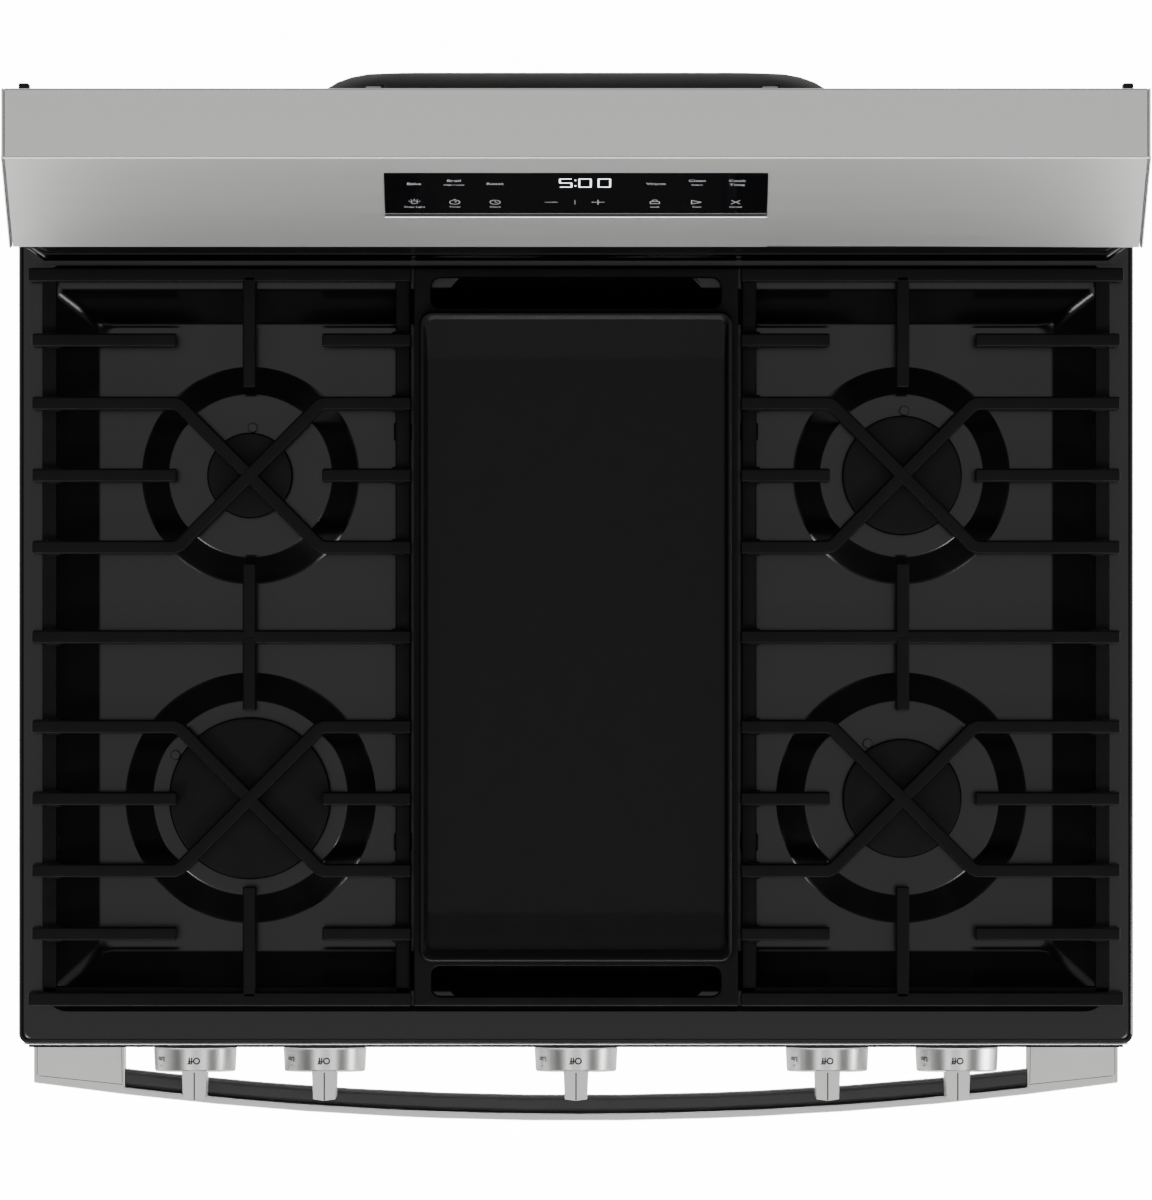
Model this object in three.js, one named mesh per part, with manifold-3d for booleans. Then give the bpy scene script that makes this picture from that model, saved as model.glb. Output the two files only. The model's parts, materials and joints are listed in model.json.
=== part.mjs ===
// Freestanding gas range, thirty inches wide, as an assembly of separate pieces.
// Millimetres, +Z up, the front faces -Y. The origin is on the floor, under the middle of the whole outline.
import * as THREE from "three";
import { mergeVertices } from "three/addons/utils/BufferGeometryUtils.js";
import Module from "manifold-3d";

const wasm = await Module();
wasm.setup();

// ---- Driving dimensions ----
const width = 760.5; // across the cooktop and the backguard
const deckHeight = 914; // floor to the flat rim of the cooktop
const backguardHeight = 286; // above the rim
const topDepth = 642; // cooktop front edge to the rear of the backguard
const handleReach = 56.8; // handle, forward of the cooktop edge
const coverReach = 33.3; // fan motor cover, behind the back panel
const seam = 0.3; // gap between pieces that touch
const sheet = 1.2; // cabinet steel

// Planes that the pieces share.
const frontEdge = handleReach - (handleReach + topDepth + coverReach) / 2;
const rearPlane = frontEdge + topDepth;
const deckSheet = 1.6; // cooktop steel
const cabinetInset = deckSheet + seam; // cabinet side, inside the cooktop side
const cabinetHalf = width / 2 - cabinetInset;
const doorProud = 2.5; // door face, forward of the cooktop edge
const doorThickness = 46;
const gasketGap = 2; // door back to the oven frame
const doorFace = frontEdge - doorProud;
const doorBack = doorFace + doorThickness;
const bodyFront = doorBack + gasketGap;

// ---- Shape helpers ----
const solidOf = (geometry) => {
  const bare = geometry.clone();
  bare.deleteAttribute("normal");
  bare.deleteAttribute("uv");
  const merged = mergeVertices(bare, 1e-4);
  return new wasm.Manifold(
    new wasm.Mesh({
      numProp: 3,
      vertProperties: merged.attributes.position.array,
      triVerts: new Uint32Array(merged.index.array),
    }),
  );
};
const geometryOf = (solid) => {
  const mesh = solid.getMesh();
  const geometry = new THREE.BufferGeometry();
  geometry.setAttribute("position", new THREE.BufferAttribute(mesh.vertProperties, 3));
  geometry.setIndex(new THREE.BufferAttribute(mesh.triVerts, 1));
  geometry.computeVertexNormals();
  return geometry;
};
const join = (...pieces) => geometryOf(pieces.map(solidOf).reduce((a, b) => a.add(b)));
const cut = (base, ...tools) =>
  geometryOf(tools.map(solidOf).reduce((a, b) => a.subtract(b), solidOf(base)));

// A box between pairs of limits.
const block = ([x0, x1], [y0, y1], [z0, z1]) =>
  new THREE.BoxGeometry(x1 - x0, y1 - y0, z1 - z0).translate((x0 + x1) / 2, (y0 + y1) / 2, (z0 + z1) / 2);
const outline = (points) => new THREE.Shape(points.map(([u, v]) => new THREE.Vector2(u, v)));
const extrude = (shape, depth, curveSegments = 8) =>
  new THREE.ExtrudeGeometry(shape, { depth, bevelEnabled: false, curveSegments });
// A plan shape (x, y) raised from z0 to z1.
const slab = (shape, z0, z1, curveSegments) => extrude(shape, z1 - z0, curveSegments).translate(0, 0, z0);
// A side profile (y, z) run across from x0 to x1.
const sideways = new THREE.Matrix4().makeBasis(
  new THREE.Vector3(0, 1, 0),
  new THREE.Vector3(0, 0, 1),
  new THREE.Vector3(1, 0, 0),
);
const across = (points, x0, x1) => extrude(outline(points), x1 - x0).applyMatrix4(sideways).translate(x0, 0, 0);
// A front outline (x, z) run back from y0 to y1.
const backwards = (shape, y0, y1, curveSegments) =>
  extrude(shape, y1 - y0, curveSegments).rotateX(Math.PI / 2).translate(0, y1, 0);
const roundedRectangle = (x0, x1, y0, y1, r) => {
  const shape = new THREE.Shape();
  shape.moveTo(x0 + r, y0);
  shape.lineTo(x1 - r, y0);
  shape.absarc(x1 - r, y0 + r, r, -Math.PI / 2, 0);
  shape.lineTo(x1, y1 - r);
  shape.absarc(x1 - r, y1 - r, r, 0, Math.PI / 2);
  shape.lineTo(x0 + r, y1);
  shape.absarc(x0 + r, y1 - r, r, Math.PI / 2, Math.PI);
  shape.lineTo(x0, y0 + r);
  shape.absarc(x0 + r, y0 + r, r, Math.PI, 1.5 * Math.PI);
  return shape;
};
const drumX = (r, x0, x1, y, z, sides = 16) =>
  new THREE.CylinderGeometry(r, r, x1 - x0, sides).rotateZ(Math.PI / 2).translate((x0 + x1) / 2, y, z);
const drumY = (r, y0, y1, x, z, sides = 16) =>
  new THREE.CylinderGeometry(r, r, y1 - y0, sides).translate(x, (y0 + y1) / 2, z);
const drumZ = (r, z0, z1, x, y, sides = 24) =>
  new THREE.CylinderGeometry(r, r, z1 - z0, sides).rotateX(Math.PI / 2).translate(x, y, (z0 + z1) / 2);
const coneZ = (rLow, rHigh, z0, z1, x, y, sides = 24) =>
  new THREE.CylinderGeometry(rHigh, rLow, z1 - z0, sides).rotateX(Math.PI / 2).translate(x, y, (z0 + z1) / 2);
// A profile of (radius, height) pairs, from the axis below round to the axis above, turned about a vertical axis.
const turned = (profile, x, y, sides = 24) =>
  new THREE.LatheGeometry(profile.map(([r, h]) => new THREE.Vector2(r, h)), sides)
    .rotateX(Math.PI / 2)
    .translate(x, y, 0);
// A box whose top is wider than its bottom by flare on every side.
const flaredBlock = (xs, ys, [z0, z1], flareX, flareY) => {
  const geometry = block(xs, ys, [z0, z1]);
  const position = geometry.attributes.position;
  const middle = [(xs[0] + xs[1]) / 2, (ys[0] + ys[1]) / 2, (z0 + z1) / 2];
  for (let i = 0; i < position.count; i++) {
    if (position.getZ(i) < middle[2]) continue;
    position.setX(i, position.getX(i) + Math.sign(position.getX(i) - middle[0]) * flareX);
    position.setY(i, position.getY(i) + Math.sign(position.getY(i) - middle[1]) * flareY);
  }
  return geometry;
};
const mirrored = (geometry) => {
  const flipped = (geometry.index ? geometry.toNonIndexed() : geometry.clone()).scale(-1, 1, 1);
  const position = flipped.attributes.position;
  for (let i = 0; i < position.count; i += 3) {
    const [a, b] = [i + 1, i + 2].map((k) => new THREE.Vector3().fromBufferAttribute(position, k));
    position.setXYZ(i + 1, b.x, b.y, b.z);
    position.setXYZ(i + 2, a.x, a.y, a.z);
  }
  return flipped;
};

// ---- Materials ----
const finish = (color, roughness, metalness) => new THREE.MeshStandardMaterial({ color, roughness, metalness });
const stainless = finish(0xb4b4b4, 0.32, 1);
const enamel = finish(0x101011, 0.22, 0);
const cavityEnamel = finish(0x1d1f24, 0.35, 0);
const castIron = finish(0x151515, 0.7, 0.1);
const cabinetPaint = finish(0x1b1b1c, 0.5, 0.2);
const galvanised = finish(0x9a9da0, 0.45, 1);
const aluminium = finish(0xa8aaac, 0.4, 1);
const brass = finish(0xb08d45, 0.4, 1);
const glass = finish(0x060606, 0.06, 0);
const wire = finish(0xc4c6c8, 0.25, 1);
const gripPaint = finish(0x26272a, 0.35, 0.3);
const rubber = finish(0x161616, 0.8, 0);

const range = new THREE.Group();
const add = (name, geometry, material) => {
  const mesh = new THREE.Mesh(geometry, material);
  mesh.name = name;
  range.add(mesh);
};

// ---- Cabinet: levelling feet, base frame, side panels and back panel ----
const footHeight = 35;
const baseRail = { width: 34, height: 14 };
const skirtHeight = 22; // cooktop edge, turned down
const flange = 12; // side panel edges, turned in
const linerFlange = 2; // oven frame thickness
const sidesTop = deckHeight - deckSheet - seam;
const backTop = deckHeight - skirtHeight - seam;
const sidesFront = bodyFront + linerFlange + seam;
const sidesRear = rearPlane - sheet - seam;
const base = {
  half: cabinetHalf - sheet - seam,
  front: sidesFront + sheet + seam,
  rear: sidesRear - sheet - seam,
  top: footHeight + baseRail.height,
};

const sidePanel = () => {
  const [outer, inner] = [cabinetHalf, cabinetHalf - sheet];
  const plan = outline([
    [outer - flange, sidesFront],
    [outer, sidesFront],
    [outer, sidesRear],
    [outer - flange, sidesRear],
    [outer - flange, sidesRear - sheet],
    [inner, sidesRear - sheet],
    [inner, sidesFront + sheet],
    [outer - flange, sidesFront + sheet],
  ]);
  return slab(plan, footHeight, sidesTop);
};
add("right_side_panel", sidePanel(), cabinetPaint);
add("left_side_panel", mirrored(sidePanel()), cabinetPaint);

const foot = { pad: 19, padHeight: 9, bolt: 5, nut: 10, nutHeight: 7, boltTop: footHeight + baseRail.height - 3 };
const footX = base.half - baseRail.width / 2 - 6;
const footFrontY = base.front + baseRail.width / 2;
const footRearY = base.rear - baseRail.width / 2;
const footPlaces = [
  ["front_left", -footX, footFrontY],
  ["front_right", footX, footFrontY],
  ["rear_left", -footX, footRearY],
  ["rear_right", footX, footRearY],
];
for (const [corner, x, y] of footPlaces) {
  const nutTop = footHeight - seam;
  const levellingFoot = turned(
    [
      [0, 0],
      [foot.pad, 0],
      [foot.pad, foot.padHeight - 3],
      [foot.pad - 5, foot.padHeight],
      [foot.bolt, foot.padHeight],
      [foot.bolt, nutTop - foot.nutHeight],
      [foot.nut, nutTop - foot.nutHeight],
      [foot.nut, nutTop],
      [foot.bolt, nutTop],
      [foot.bolt, foot.boltTop],
      [0, foot.boltTop],
    ],
    x,
    y,
    12,
  );
  add(`levelling_foot_${corner}`, levellingFoot, galvanised);
}

// Drawer runners stand on the base frame, so the drawer's sizes come first.
const drawer = {
  bottom: 60, // under the front panel
  top: 243,
  gap: 11, // drawer top to door bottom
  panel: 22, // front panel thickness
  boxHalf: base.half - baseRail.width + 1.9,
  boxBottom: 66,
  boxTop: 186,
  boxDepth: 430,
  lipZ: 101,
  lip: 18, // side lip that rides on the runner
  wall: 1.2,
};
const runner = { inner: drawer.boxHalf + 7, thickness: 8 };

const baseFrame = () => {
  const [x, y0, y1] = [base.half, base.front, base.rear];
  const ring = slab(
    outline([
      [-x, y0],
      [x, y0],
      [x, y1],
      [-x, y1],
    ]),
    footHeight,
    base.top,
  );
  const window = block(
    [-x + baseRail.width, x - baseRail.width],
    [y0 + baseRail.width, y1 - baseRail.width],
    [footHeight - 1, base.top + 1],
  );
  const runners = [-1, 1].map((side) => {
    const xs = [side * runner.inner, side * (runner.inner + runner.thickness)].sort((a, b) => a - b);
    return block(xs, [y0, y1], [base.top - 1, drawer.lipZ - seam]);
  });
  const holes = footPlaces.map(([, fx, fy]) =>
    drumZ(foot.bolt + 0.6, footHeight - 1, base.top + 1, fx, fy, 12),
  );
  return cut(join(ring, ...runners), window, ...holes);
};
add("base_frame", baseFrame(), galvanised);

// ---- Oven: liner with its front frame, bottom panel, burners, fan, racks ----
const door = { bottom: drawer.top + drawer.gap, half: cabinetHalf - 0.5 };
const panelHeight = 89; // front control panel
const panelGap = 3;
const panelTop = deckHeight - skirtHeight - panelGap;
const panelBottom = panelTop - panelHeight;
door.top = panelBottom - panelGap;

const cavity = {
  half: 305,
  behind: 146.5, // room for the fan motor and the heat shield
  wall: 2,
  floor: door.bottom + 46,
  top: door.top - 62,
};
cavity.front = bodyFront;
cavity.rear = rearPlane - cavity.behind;
const cavityMiddle = (cavity.floor + cavity.top) / 2;
const shaftZ = cavityMiddle + 12; // convection fan axis
const shaftHole = 10;
const hinge = { x: 338, up: 10, back: 15, arm: 4, pin: 4, slot: 8 };
hinge.y = doorFace + hinge.back;
hinge.z = door.bottom + hinge.up;

const rackLevels = 5;
const rib = { height: 6, out: 10, first: 52, pitch: 62 };
const ribTop = (level) => cavity.floor + rib.first + level * rib.pitch + rib.height;
const ribFront = cavity.front + 24;
const baffle = { half: 150, depth: 34, wall: 1.5, below: 120, above: 120 };
const baffleFront = cavity.rear - seam - baffle.depth;
const ribRear = baffleFront - 6;
const ledge = { z: cavity.floor + 38, height: 3, out: 12 };
const flueHole = { half: 60, depth: 26, back: 14 };

const ovenLiner = () => {
  const { half, wall, front, rear, floor, top } = cavity;
  const box = block([-half - wall, half + wall], [front, rear + wall], [floor - wall, top + wall]);
  const frame = block(
    [-door.half, door.half],
    [bodyFront, bodyFront + linerFlange],
    [door.bottom - 4, door.top + 2],
  );
  const hollow = block([-half, half], [front - 1, rear], [floor, top]);
  const tools = [hollow, drumY(shaftHole, rear - 1, rear + wall + 1, 0, shaftZ, 20)];
  tools.push(
    block(
      [-flueHole.half, flueHole.half],
      [rear - flueHole.back - flueHole.depth, rear - flueHole.back],
      [top - 1, top + wall + 1],
    ),
  );
  for (const side of [-1, 1]) {
    // The hinge arms pass through slots in the oven frame.
    tools.push(
      block(
        [side * hinge.x - hinge.slot / 2, side * hinge.x + hinge.slot / 2],
        [bodyFront - 1, bodyFront + linerFlange + 1],
        [hinge.z - 12, hinge.z + 26],
      ),
    );
  }
  const shell = cut(join(box, frame), ...tools);
  const ribs = [];
  for (const side of [-1, 1]) {
    const reach = (out) => [side * (half + 1), side * (half - out)].sort((a, b) => a - b);
    for (let level = 0; level < rackLevels; level++) {
      ribs.push(block(reach(rib.out), [ribFront, ribRear], [ribTop(level) - rib.height, ribTop(level)]));
    }
    ribs.push(block(reach(ledge.out), [ribFront, ribRear], [ledge.z - ledge.height, ledge.z]));
  }
  return join(shell, ...ribs);
};
add("oven_liner", ovenLiner(), cavityEnamel);

const bottomPanel = { thickness: 2, clear: 3, slots: 9, slot: 6, slotLength: 60 };
const ovenBottomPanel = () => {
  const half = cavity.half - bottomPanel.clear;
  const [z0, z1] = [ledge.z + seam, ledge.z + seam + bottomPanel.thickness];
  const [y0, y1] = [cavity.front + 8, baffleFront - 4];
  const plate = block([-half, half], [y0, y1], [z0, z1]);
  const pitch = (y1 - y0) / (bottomPanel.slots + 1);
  const slots = [];
  for (const side of [-1, 1]) {
    for (let i = 1; i <= bottomPanel.slots; i++) {
      const x = side * (half - 55);
      const y = y0 + i * pitch;
      slots.push(
        block(
          [x - bottomPanel.slotLength / 2, x + bottomPanel.slotLength / 2],
          [y - bottomPanel.slot / 2, y + bottomPanel.slot / 2],
          [z0 - 1, z1 + 1],
        ),
      );
    }
  }
  return cut(plate, ...slots);
};
add("oven_bottom_panel", ovenBottomPanel(), cavityEnamel);

const bakeTube = 9;
const bakeZ = cavity.floor + 18;
const bakeBurner = join(
  drumY(bakeTube, cavity.front + 30, cavity.rear - 20, 0, bakeZ, 16),
  block([-40, 40], [cavity.rear - 24, cavity.rear - 21], [cavity.floor + seam, bakeZ + 14]),
  block([-25, 25], [cavity.front + 40, cavity.front + 43], [cavity.floor + seam, bakeZ + 4]),
);
add("bake_burner", bakeBurner, galvanised);

const broil = { half: 36, length: cavity.rear - cavity.front - 120, height: 15 };
const broilBurner = join(
  flaredBlock(
    [-broil.half, broil.half],
    [cavity.front + 60, cavity.front + 60 + broil.length],
    [cavity.top - seam - broil.height, cavity.top - seam - 2],
    16,
    8,
  ),
  block(
    [-broil.half - 20, broil.half + 20],
    [cavity.front + 48, cavity.front + 72 + broil.length],
    [cavity.top - seam - 3, cavity.top - seam],
  ),
);
add("broil_burner", broilBurner, galvanised);

const fan = { radius: 72, hub: 16, blades: 8, blade: 2, depth: 18, shaft: 4 };
const fanFront = baffleFront + baffle.wall + 5;
const fanBaffle = () => {
  const { half, wall, below, above } = baffle;
  const box = block([-half, half], [baffleFront, cavity.rear - seam], [shaftZ - below, shaftZ + above]);
  const hollow = block(
    [-half + wall, half - wall],
    [baffleFront + wall, cavity.rear + 1],
    [shaftZ - below + wall, shaftZ + above - wall],
  );
  const tools = [hollow];
  const rays = 12;
  for (let i = 0; i < rays; i++) {
    const slot = block([26, 62], [baffleFront - 1, baffleFront + wall + 1], [-4, 4]);
    tools.push(slot.rotateY((i * 2 * Math.PI) / rays).translate(0, 0, shaftZ));
  }
  for (const side of [-1, 1]) {
    for (const z of [-60, 0, 60]) {
      const x = side * (half - 20);
      tools.push(block([x - 6, x + 6], [baffleFront - 1, baffleFront + wall + 1], [shaftZ + z - 22, shaftZ + z + 22]));
    }
  }
  return cut(box, ...tools);
};
add("fan_baffle", fanBaffle(), cavityEnamel);

const motor = { radius: 38, front: cavity.rear + cavity.wall + 38, length: 48, plate: 3, plateHalf: 60 };
const shaftBack = motor.front + 24;
const convectionFan = () => {
  const blades = [];
  for (let i = 0; i < fan.blades; i++) {
    const blade = block([fan.hub - 3, fan.radius], [fanFront, fanFront + fan.depth], [-fan.blade / 2, fan.blade / 2]);
    blades.push(blade.rotateY((i * 2 * Math.PI) / fan.blades));
  }
  const disc = drumY(fan.radius, fanFront + fan.depth - 1.5, fanFront + fan.depth, 0, 0, 32);
  const hub = drumY(fan.hub, fanFront, fanFront + fan.depth, 0, 0, 20);
  const shaft = drumY(fan.shaft, fanFront + 2, shaftBack, 0, 0, 12);
  return join(disc, hub, shaft, ...blades).translate(0, 0, shaftZ);
};
add("convection_fan", convectionFan(), galvanised);

const postPlaces = [-1, 1].flatMap((sideways) => [-1, 1].map((upwards) => [sideways * 50, shaftZ + upwards * 50]));
const fanMotor = cut(
  join(
    ...postPlaces.map(([x, z]) => drumY(5, cavity.rear + cavity.wall + seam, motor.front + 1, x, z, 8)),
    drumY(motor.radius, motor.front, motor.front + motor.length, 0, shaftZ, 24),
    block(
      [-motor.plateHalf, motor.plateHalf],
      [motor.front, motor.front + motor.plate],
      [shaftZ - motor.plateHalf, shaftZ + motor.plateHalf],
    ),
  ),
  drumY(fan.shaft + 0.6, motor.front - 1, shaftBack + 2, 0, shaftZ, 12),
);
add("fan_motor", fanMotor, galvanised);

// Back panel, with an air opening behind the motor that the domed cover closes.
const airHole = 80;
const backHalf = cabinetHalf - 1;
const backPanel = cut(
  block([-backHalf, backHalf], [rearPlane - sheet, rearPlane], [footHeight, backTop]),
  block([-airHole, airHole], [rearPlane - sheet - 1, rearPlane + 1], [shaftZ - airHole, shaftZ + airHole]),
);
add("back_panel", backPanel, galvanised);

const cover = { half: 196, cornerX: 55, below: 130, above: 130 };
const coverPlan = (inset) => {
  const [a, b] = [cover.cornerX - inset, coverReach - seam - inset];
  const straight = cover.half - cover.cornerX;
  const y0 = rearPlane + seam;
  const shape = new THREE.Shape();
  shape.moveTo(-straight - a, y0);
  shape.lineTo(straight + a, y0);
  shape.absellipse(straight, y0, a, b, 0, Math.PI / 2);
  shape.lineTo(-straight, y0 + b);
  shape.absellipse(-straight, y0, a, b, Math.PI / 2, Math.PI);
  return shape;
};
const fanMotorCover = cut(
  slab(coverPlan(0), shaftZ - cover.below, shaftZ + cover.above, 7),
  slab(coverPlan(sheet), shaftZ - cover.below + sheet, shaftZ + cover.above - sheet, 7),
  block(
    [-cover.half + sheet, cover.half - sheet],
    [rearPlane, rearPlane + seam + sheet],
    [shaftZ - cover.below + sheet, shaftZ + cover.above - sheet],
  ),
);
add("fan_motor_cover", fanMotorCover, cabinetPaint);

// Racks slide on the ribs, between the closed door and the fan baffle.
const rack = { wire: 6, clear: 4, bars: 14, bar: 4, travel: 34, rimHeight: 6 };
const rackRear = ribRear - 2;
const rackFront = cavity.front + rack.travel + 4;
const ovenRack = (level) => {
  const half = cavity.half - rack.clear;
  const [z0, z1] = [ribTop(level) + seam, ribTop(level) + seam + rack.rimHeight];
  const rim = block([-half, half], [rackFront, rackRear], [z0, z1]);
  const inner = half - rack.wire;
  const pitch = (2 * inner + rack.bar) / rack.bars;
  const gaps = [];
  for (let i = 0; i < rack.bars; i++) {
    const x = -inner + i * pitch;
    gaps.push(block([x, x + pitch - rack.bar], [rackFront + rack.wire, rackRear - rack.wire], [z0 - 1, z1 + 1]));
  }
  return cut(rim, ...gaps);
};
const lowerLevel = 1;
const upperLevel = 3;
add("lower_rack", ovenRack(lowerLevel), wire);
add("upper_rack", ovenRack(upperLevel), wire);

// ---- Cooktop: one pressed sheet with a shallow well and raised burner seats ----
const deck = { sheet: deckSheet, cornerRadius: 6 };
const riserFoot = { depth: 101.8 }; // backguard, front to rear, at the deck
const riserFront = rearPlane - riserFoot.depth;
const grate = {
  front: frontEdge + 27.3, // width of the flat rim at the front
  rear: riserFront - 10.8,
  outer: width / 2 - 10.1,
  centreHalf: 110.3,
  gap: 1.9,
  top: deckHeight + 28,
  fingerHeight: 14,
  finger: 8.5,
  bar: 8.9,
  railInset: 4.2, // rail face, inside the finger ends
  rail: 11,
  railDraft: 5,
};
grate.middle = (grate.front + grate.rear) / 2;
grate.inner = grate.centreHalf + grate.gap;

const fingertip = 49.7; // fingertips to burner axis, across
const fingertipY = 60; // and along
const innerFinger = 60.4;
const bend = 49; // row of a bent finger, from its burner's row
const burnerX = grate.inner + innerFinger + fingertip;
const burnerInset = 141; // grate end to burner axis
const burnerSpacing = grate.rear - grate.front - 2 * burnerInset; // front to rear
const frontBurnerY = grate.middle - burnerSpacing / 2;
const rearBurnerY = grate.middle + burnerSpacing / 2;

const well = {
  depth: 16,
  half: width / 2 - 19.5, // top edge
  front: grate.front - 2.8,
  rear: grate.rear + 3.3,
  slopeX: 36.6,
  slopeY: 40.5,
};
const wellFloor = deckHeight - well.depth;
const seatHeight = 8;
const seatTop = wellFloor + seatHeight;
const throatHole = 18;
const burners = [
  { name: "left_front", x: -burnerX, y: frontBurnerY, cap: 55.3, seatLow: 83.8, seatHigh: 66.5 },
  { name: "left_rear", x: -burnerX, y: rearBurnerY, cap: 29.2, seatLow: 72.6, seatHigh: 55.8 },
  { name: "right_rear", x: burnerX, y: rearBurnerY, cap: 40.8, seatLow: 72.6, seatHigh: 55.8 },
  { name: "right_front", x: burnerX, y: frontBurnerY, cap: 40.6, seatLow: 83.8, seatHigh: 66.5 },
];
const oval = { halfLength: 95, radius: 27, y: grate.middle };
const ovalPlan = (radius) => {
  const straight = oval.halfLength - oval.radius;
  const shape = new THREE.Shape();
  shape.absarc(0, oval.y + straight, radius, 0, Math.PI);
  shape.absarc(0, oval.y - straight, radius, Math.PI, 2 * Math.PI);
  return shape;
};

const cooktop = () => {
  const half = width / 2;
  const { sheet: t, cornerRadius } = deck;
  const rear = rearPlane - 1;
  const slabShape = roundedRectangle(-half, half, frontEdge, rear, cornerRadius);
  const under = [-half + t, half - t];
  const top = slab(slabShape, deckHeight - skirtHeight, deckHeight, 4);
  const hollow = block(under, [frontEdge + t, rear + 1], [deckHeight - skirtHeight - 1, deckHeight - t]);
  const floorX = well.half - well.slopeX;
  const floorY = [well.front + well.slopeY, well.rear - well.slopeY];
  const pan = (grow, z0, z1) =>
    flaredBlock(
      [-floorX - grow, floorX + grow],
      [floorY[0] - grow, floorY[1] + grow],
      [z0, z1],
      well.slopeX,
      well.slopeY,
    );
  const pressed = join(cut(top, hollow), pan(t, wellFloor - t, deckHeight - t + 0.5));
  const dished = cut(pressed, pan(0, wellFloor, deckHeight + 0.01));
  const seats = burners.map((b) => coneZ(b.seatLow, b.seatHigh, wellFloor - 0.5, seatTop, b.x, b.y));
  const ovalSeat = slab(ovalPlan(oval.radius + 22), wellFloor - 0.5, seatTop, 8);
  const underSeats = burners.map((b) =>
    coneZ(b.seatLow - t, b.seatHigh - t, wellFloor - t - 0.5, seatTop - t, b.x, b.y),
  );
  const underOval = slab(ovalPlan(oval.radius + 22 - t), wellFloor - t - 1, seatTop - t, 8);
  const throats = burners.map((b) => drumZ(throatHole, wellFloor - 5, seatTop + 1, b.x, b.y, 16));
  const ovalThroat = drumZ(throatHole, wellFloor - 5, seatTop + 1, 0, oval.y, 16);
  return cut(join(dished, ...seats, ovalSeat), ...underSeats, underOval, ...throats, ovalThroat);
};
add("cooktop", cooktop(), enamel);

// Burner heads stand on the seats, and their caps lie on the heads.
const head = { flange: 2, height: 10, inset: 4.5, throat: 14, throatDepth: 34 };
const headTop = seatTop + seam + head.height;
const cap = { thickness: 6, edge: 2 };
const capTop = headTop + seam + cap.thickness;
const headBottom = seatTop - head.throatDepth;
for (const b of burners) {
  const low = seatTop + seam;
  const burnerHead = turned(
    [
      [0, headBottom],
      [head.throat, headBottom],
      [head.throat, low],
      [b.cap - 1, low],
      [b.cap - 1, low + head.flange],
      [b.cap - head.inset, low + head.flange],
      [b.cap - head.inset, headTop],
      [0, headTop],
    ],
    b.x,
    b.y,
  );
  add(`burner_head_${b.name}`, burnerHead, aluminium);
  const capLow = headTop + seam;
  const burnerCap = turned(
    [
      [0, capLow],
      [b.cap - cap.edge, capLow],
      [b.cap, capLow + cap.edge],
      [b.cap, capTop - cap.edge],
      [b.cap - cap.edge, capTop],
      [0, capTop],
    ],
    b.x,
    b.y,
  );
  add(`burner_cap_${b.name}`, burnerCap, castIron);
}
const ovalHead = join(
  slab(ovalPlan(oval.radius - head.inset), seatTop + seam, headTop, 8),
  slab(ovalPlan(oval.radius - 1), seatTop + seam, seatTop + seam + head.flange, 8),
  drumZ(head.throat, headBottom, seatTop + 1, 0, oval.y, 20),
);
add("burner_head_centre", ovalHead, aluminium);
add("burner_cap_centre", slab(ovalPlan(oval.radius), headTop + seam, capTop, 10), castIron);

// ---- Grates: rails with sloping inner faces, fingers on top ----
const railTop = grate.top - grate.fingerHeight + 3;
const railLow = deckHeight + seam;
const legSize = 12;
const rows = [
  { from: burnerSpacing / 2 + 92, bent: false },
  { from: burnerSpacing / 2 + bend, bent: true, towards: -1 },
  { from: burnerSpacing / 2, bent: false },
  { from: burnerSpacing / 2 - bend, bent: true, towards: 1 },
];
// A straight finger between two plan points, square ended, of the grate's finger section.
const fingerBetween = ([xa, ya], [xb, yb], thickness = grate.finger) => {
  const [dx, dy] = [xb - xa, yb - ya];
  const length = Math.hypot(dx, dy);
  return new THREE.BoxGeometry(length, thickness, grate.fingerHeight)
    .rotateZ(Math.atan2(dy, dx))
    .translate((xa + xb) / 2, (ya + yb) / 2, grate.top - grate.fingerHeight / 2);
};
const rightGrate = () => {
  const [x0, x1] = [grate.inner, grate.outer];
  const { front, rear, middle, bar } = grate;
  const outerRail = x1 - grate.railInset;
  const ring = block([x0, outerRail], [front + 2.5, rear - 4.4], [railLow, railTop]);
  const draft = grate.railDraft;
  const opening = flaredBlock(
    [x0 + grate.rail, outerRail - grate.rail],
    [front + 2.5 + grate.rail, rear - 4.4 - grate.rail],
    [railLow - 0.01, railTop + 0.01],
    draft,
    draft,
  );
  const rails = cut(ring, opening);
  const half = bar / 2;
  const pieces = [
    fingerBetween([x0, front + half], [x1 + 2.5, front + half], bar),
    fingerBetween([x0, rear - half], [x1 + 2.5, rear - half], bar),
    fingerBetween([x0, middle], [x1, middle], grate.finger),
  ];
  for (const end of [-1, 1]) {
    const burnerY = middle + (end * burnerSpacing) / 2;
    for (const row of rows) {
      const y = middle + end * row.from;
      pieces.push(fingerBetween([x0, y], [burnerX - fingertip, y]), fingerBetween([burnerX + fingertip, y], [x1, y]));
      if (!row.bent) continue;
      const reach = 0.8; // bent fingers overlap where they turn and where they meet
      for (const side of [-1, 1]) {
        const turn = [burnerX + side * (fingertip - reach), y];
        pieces.push(fingerBetween(turn, [burnerX - side * reach, burnerY - end * row.towards * -reach]));
      }
    }
    const barY = end > 0 ? rear - bar : front + bar;
    pieces.push(
      fingerBetween([burnerX, barY - end * -1], [burnerX, burnerY + end * fingertipY]),
      fingerBetween([burnerX, middle], [burnerX, burnerY - end * fingertipY]),
    );
    const legY = middle + end * (burnerSpacing / 2 + 30);
    pieces.push(block([x0, x0 + legSize], [legY - 6, legY + 6], [wellFloor + seam, railLow + 3]));
  }
  return join(rails, ...pieces);
};
add("right_grate", rightGrate(), castIron);
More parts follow.
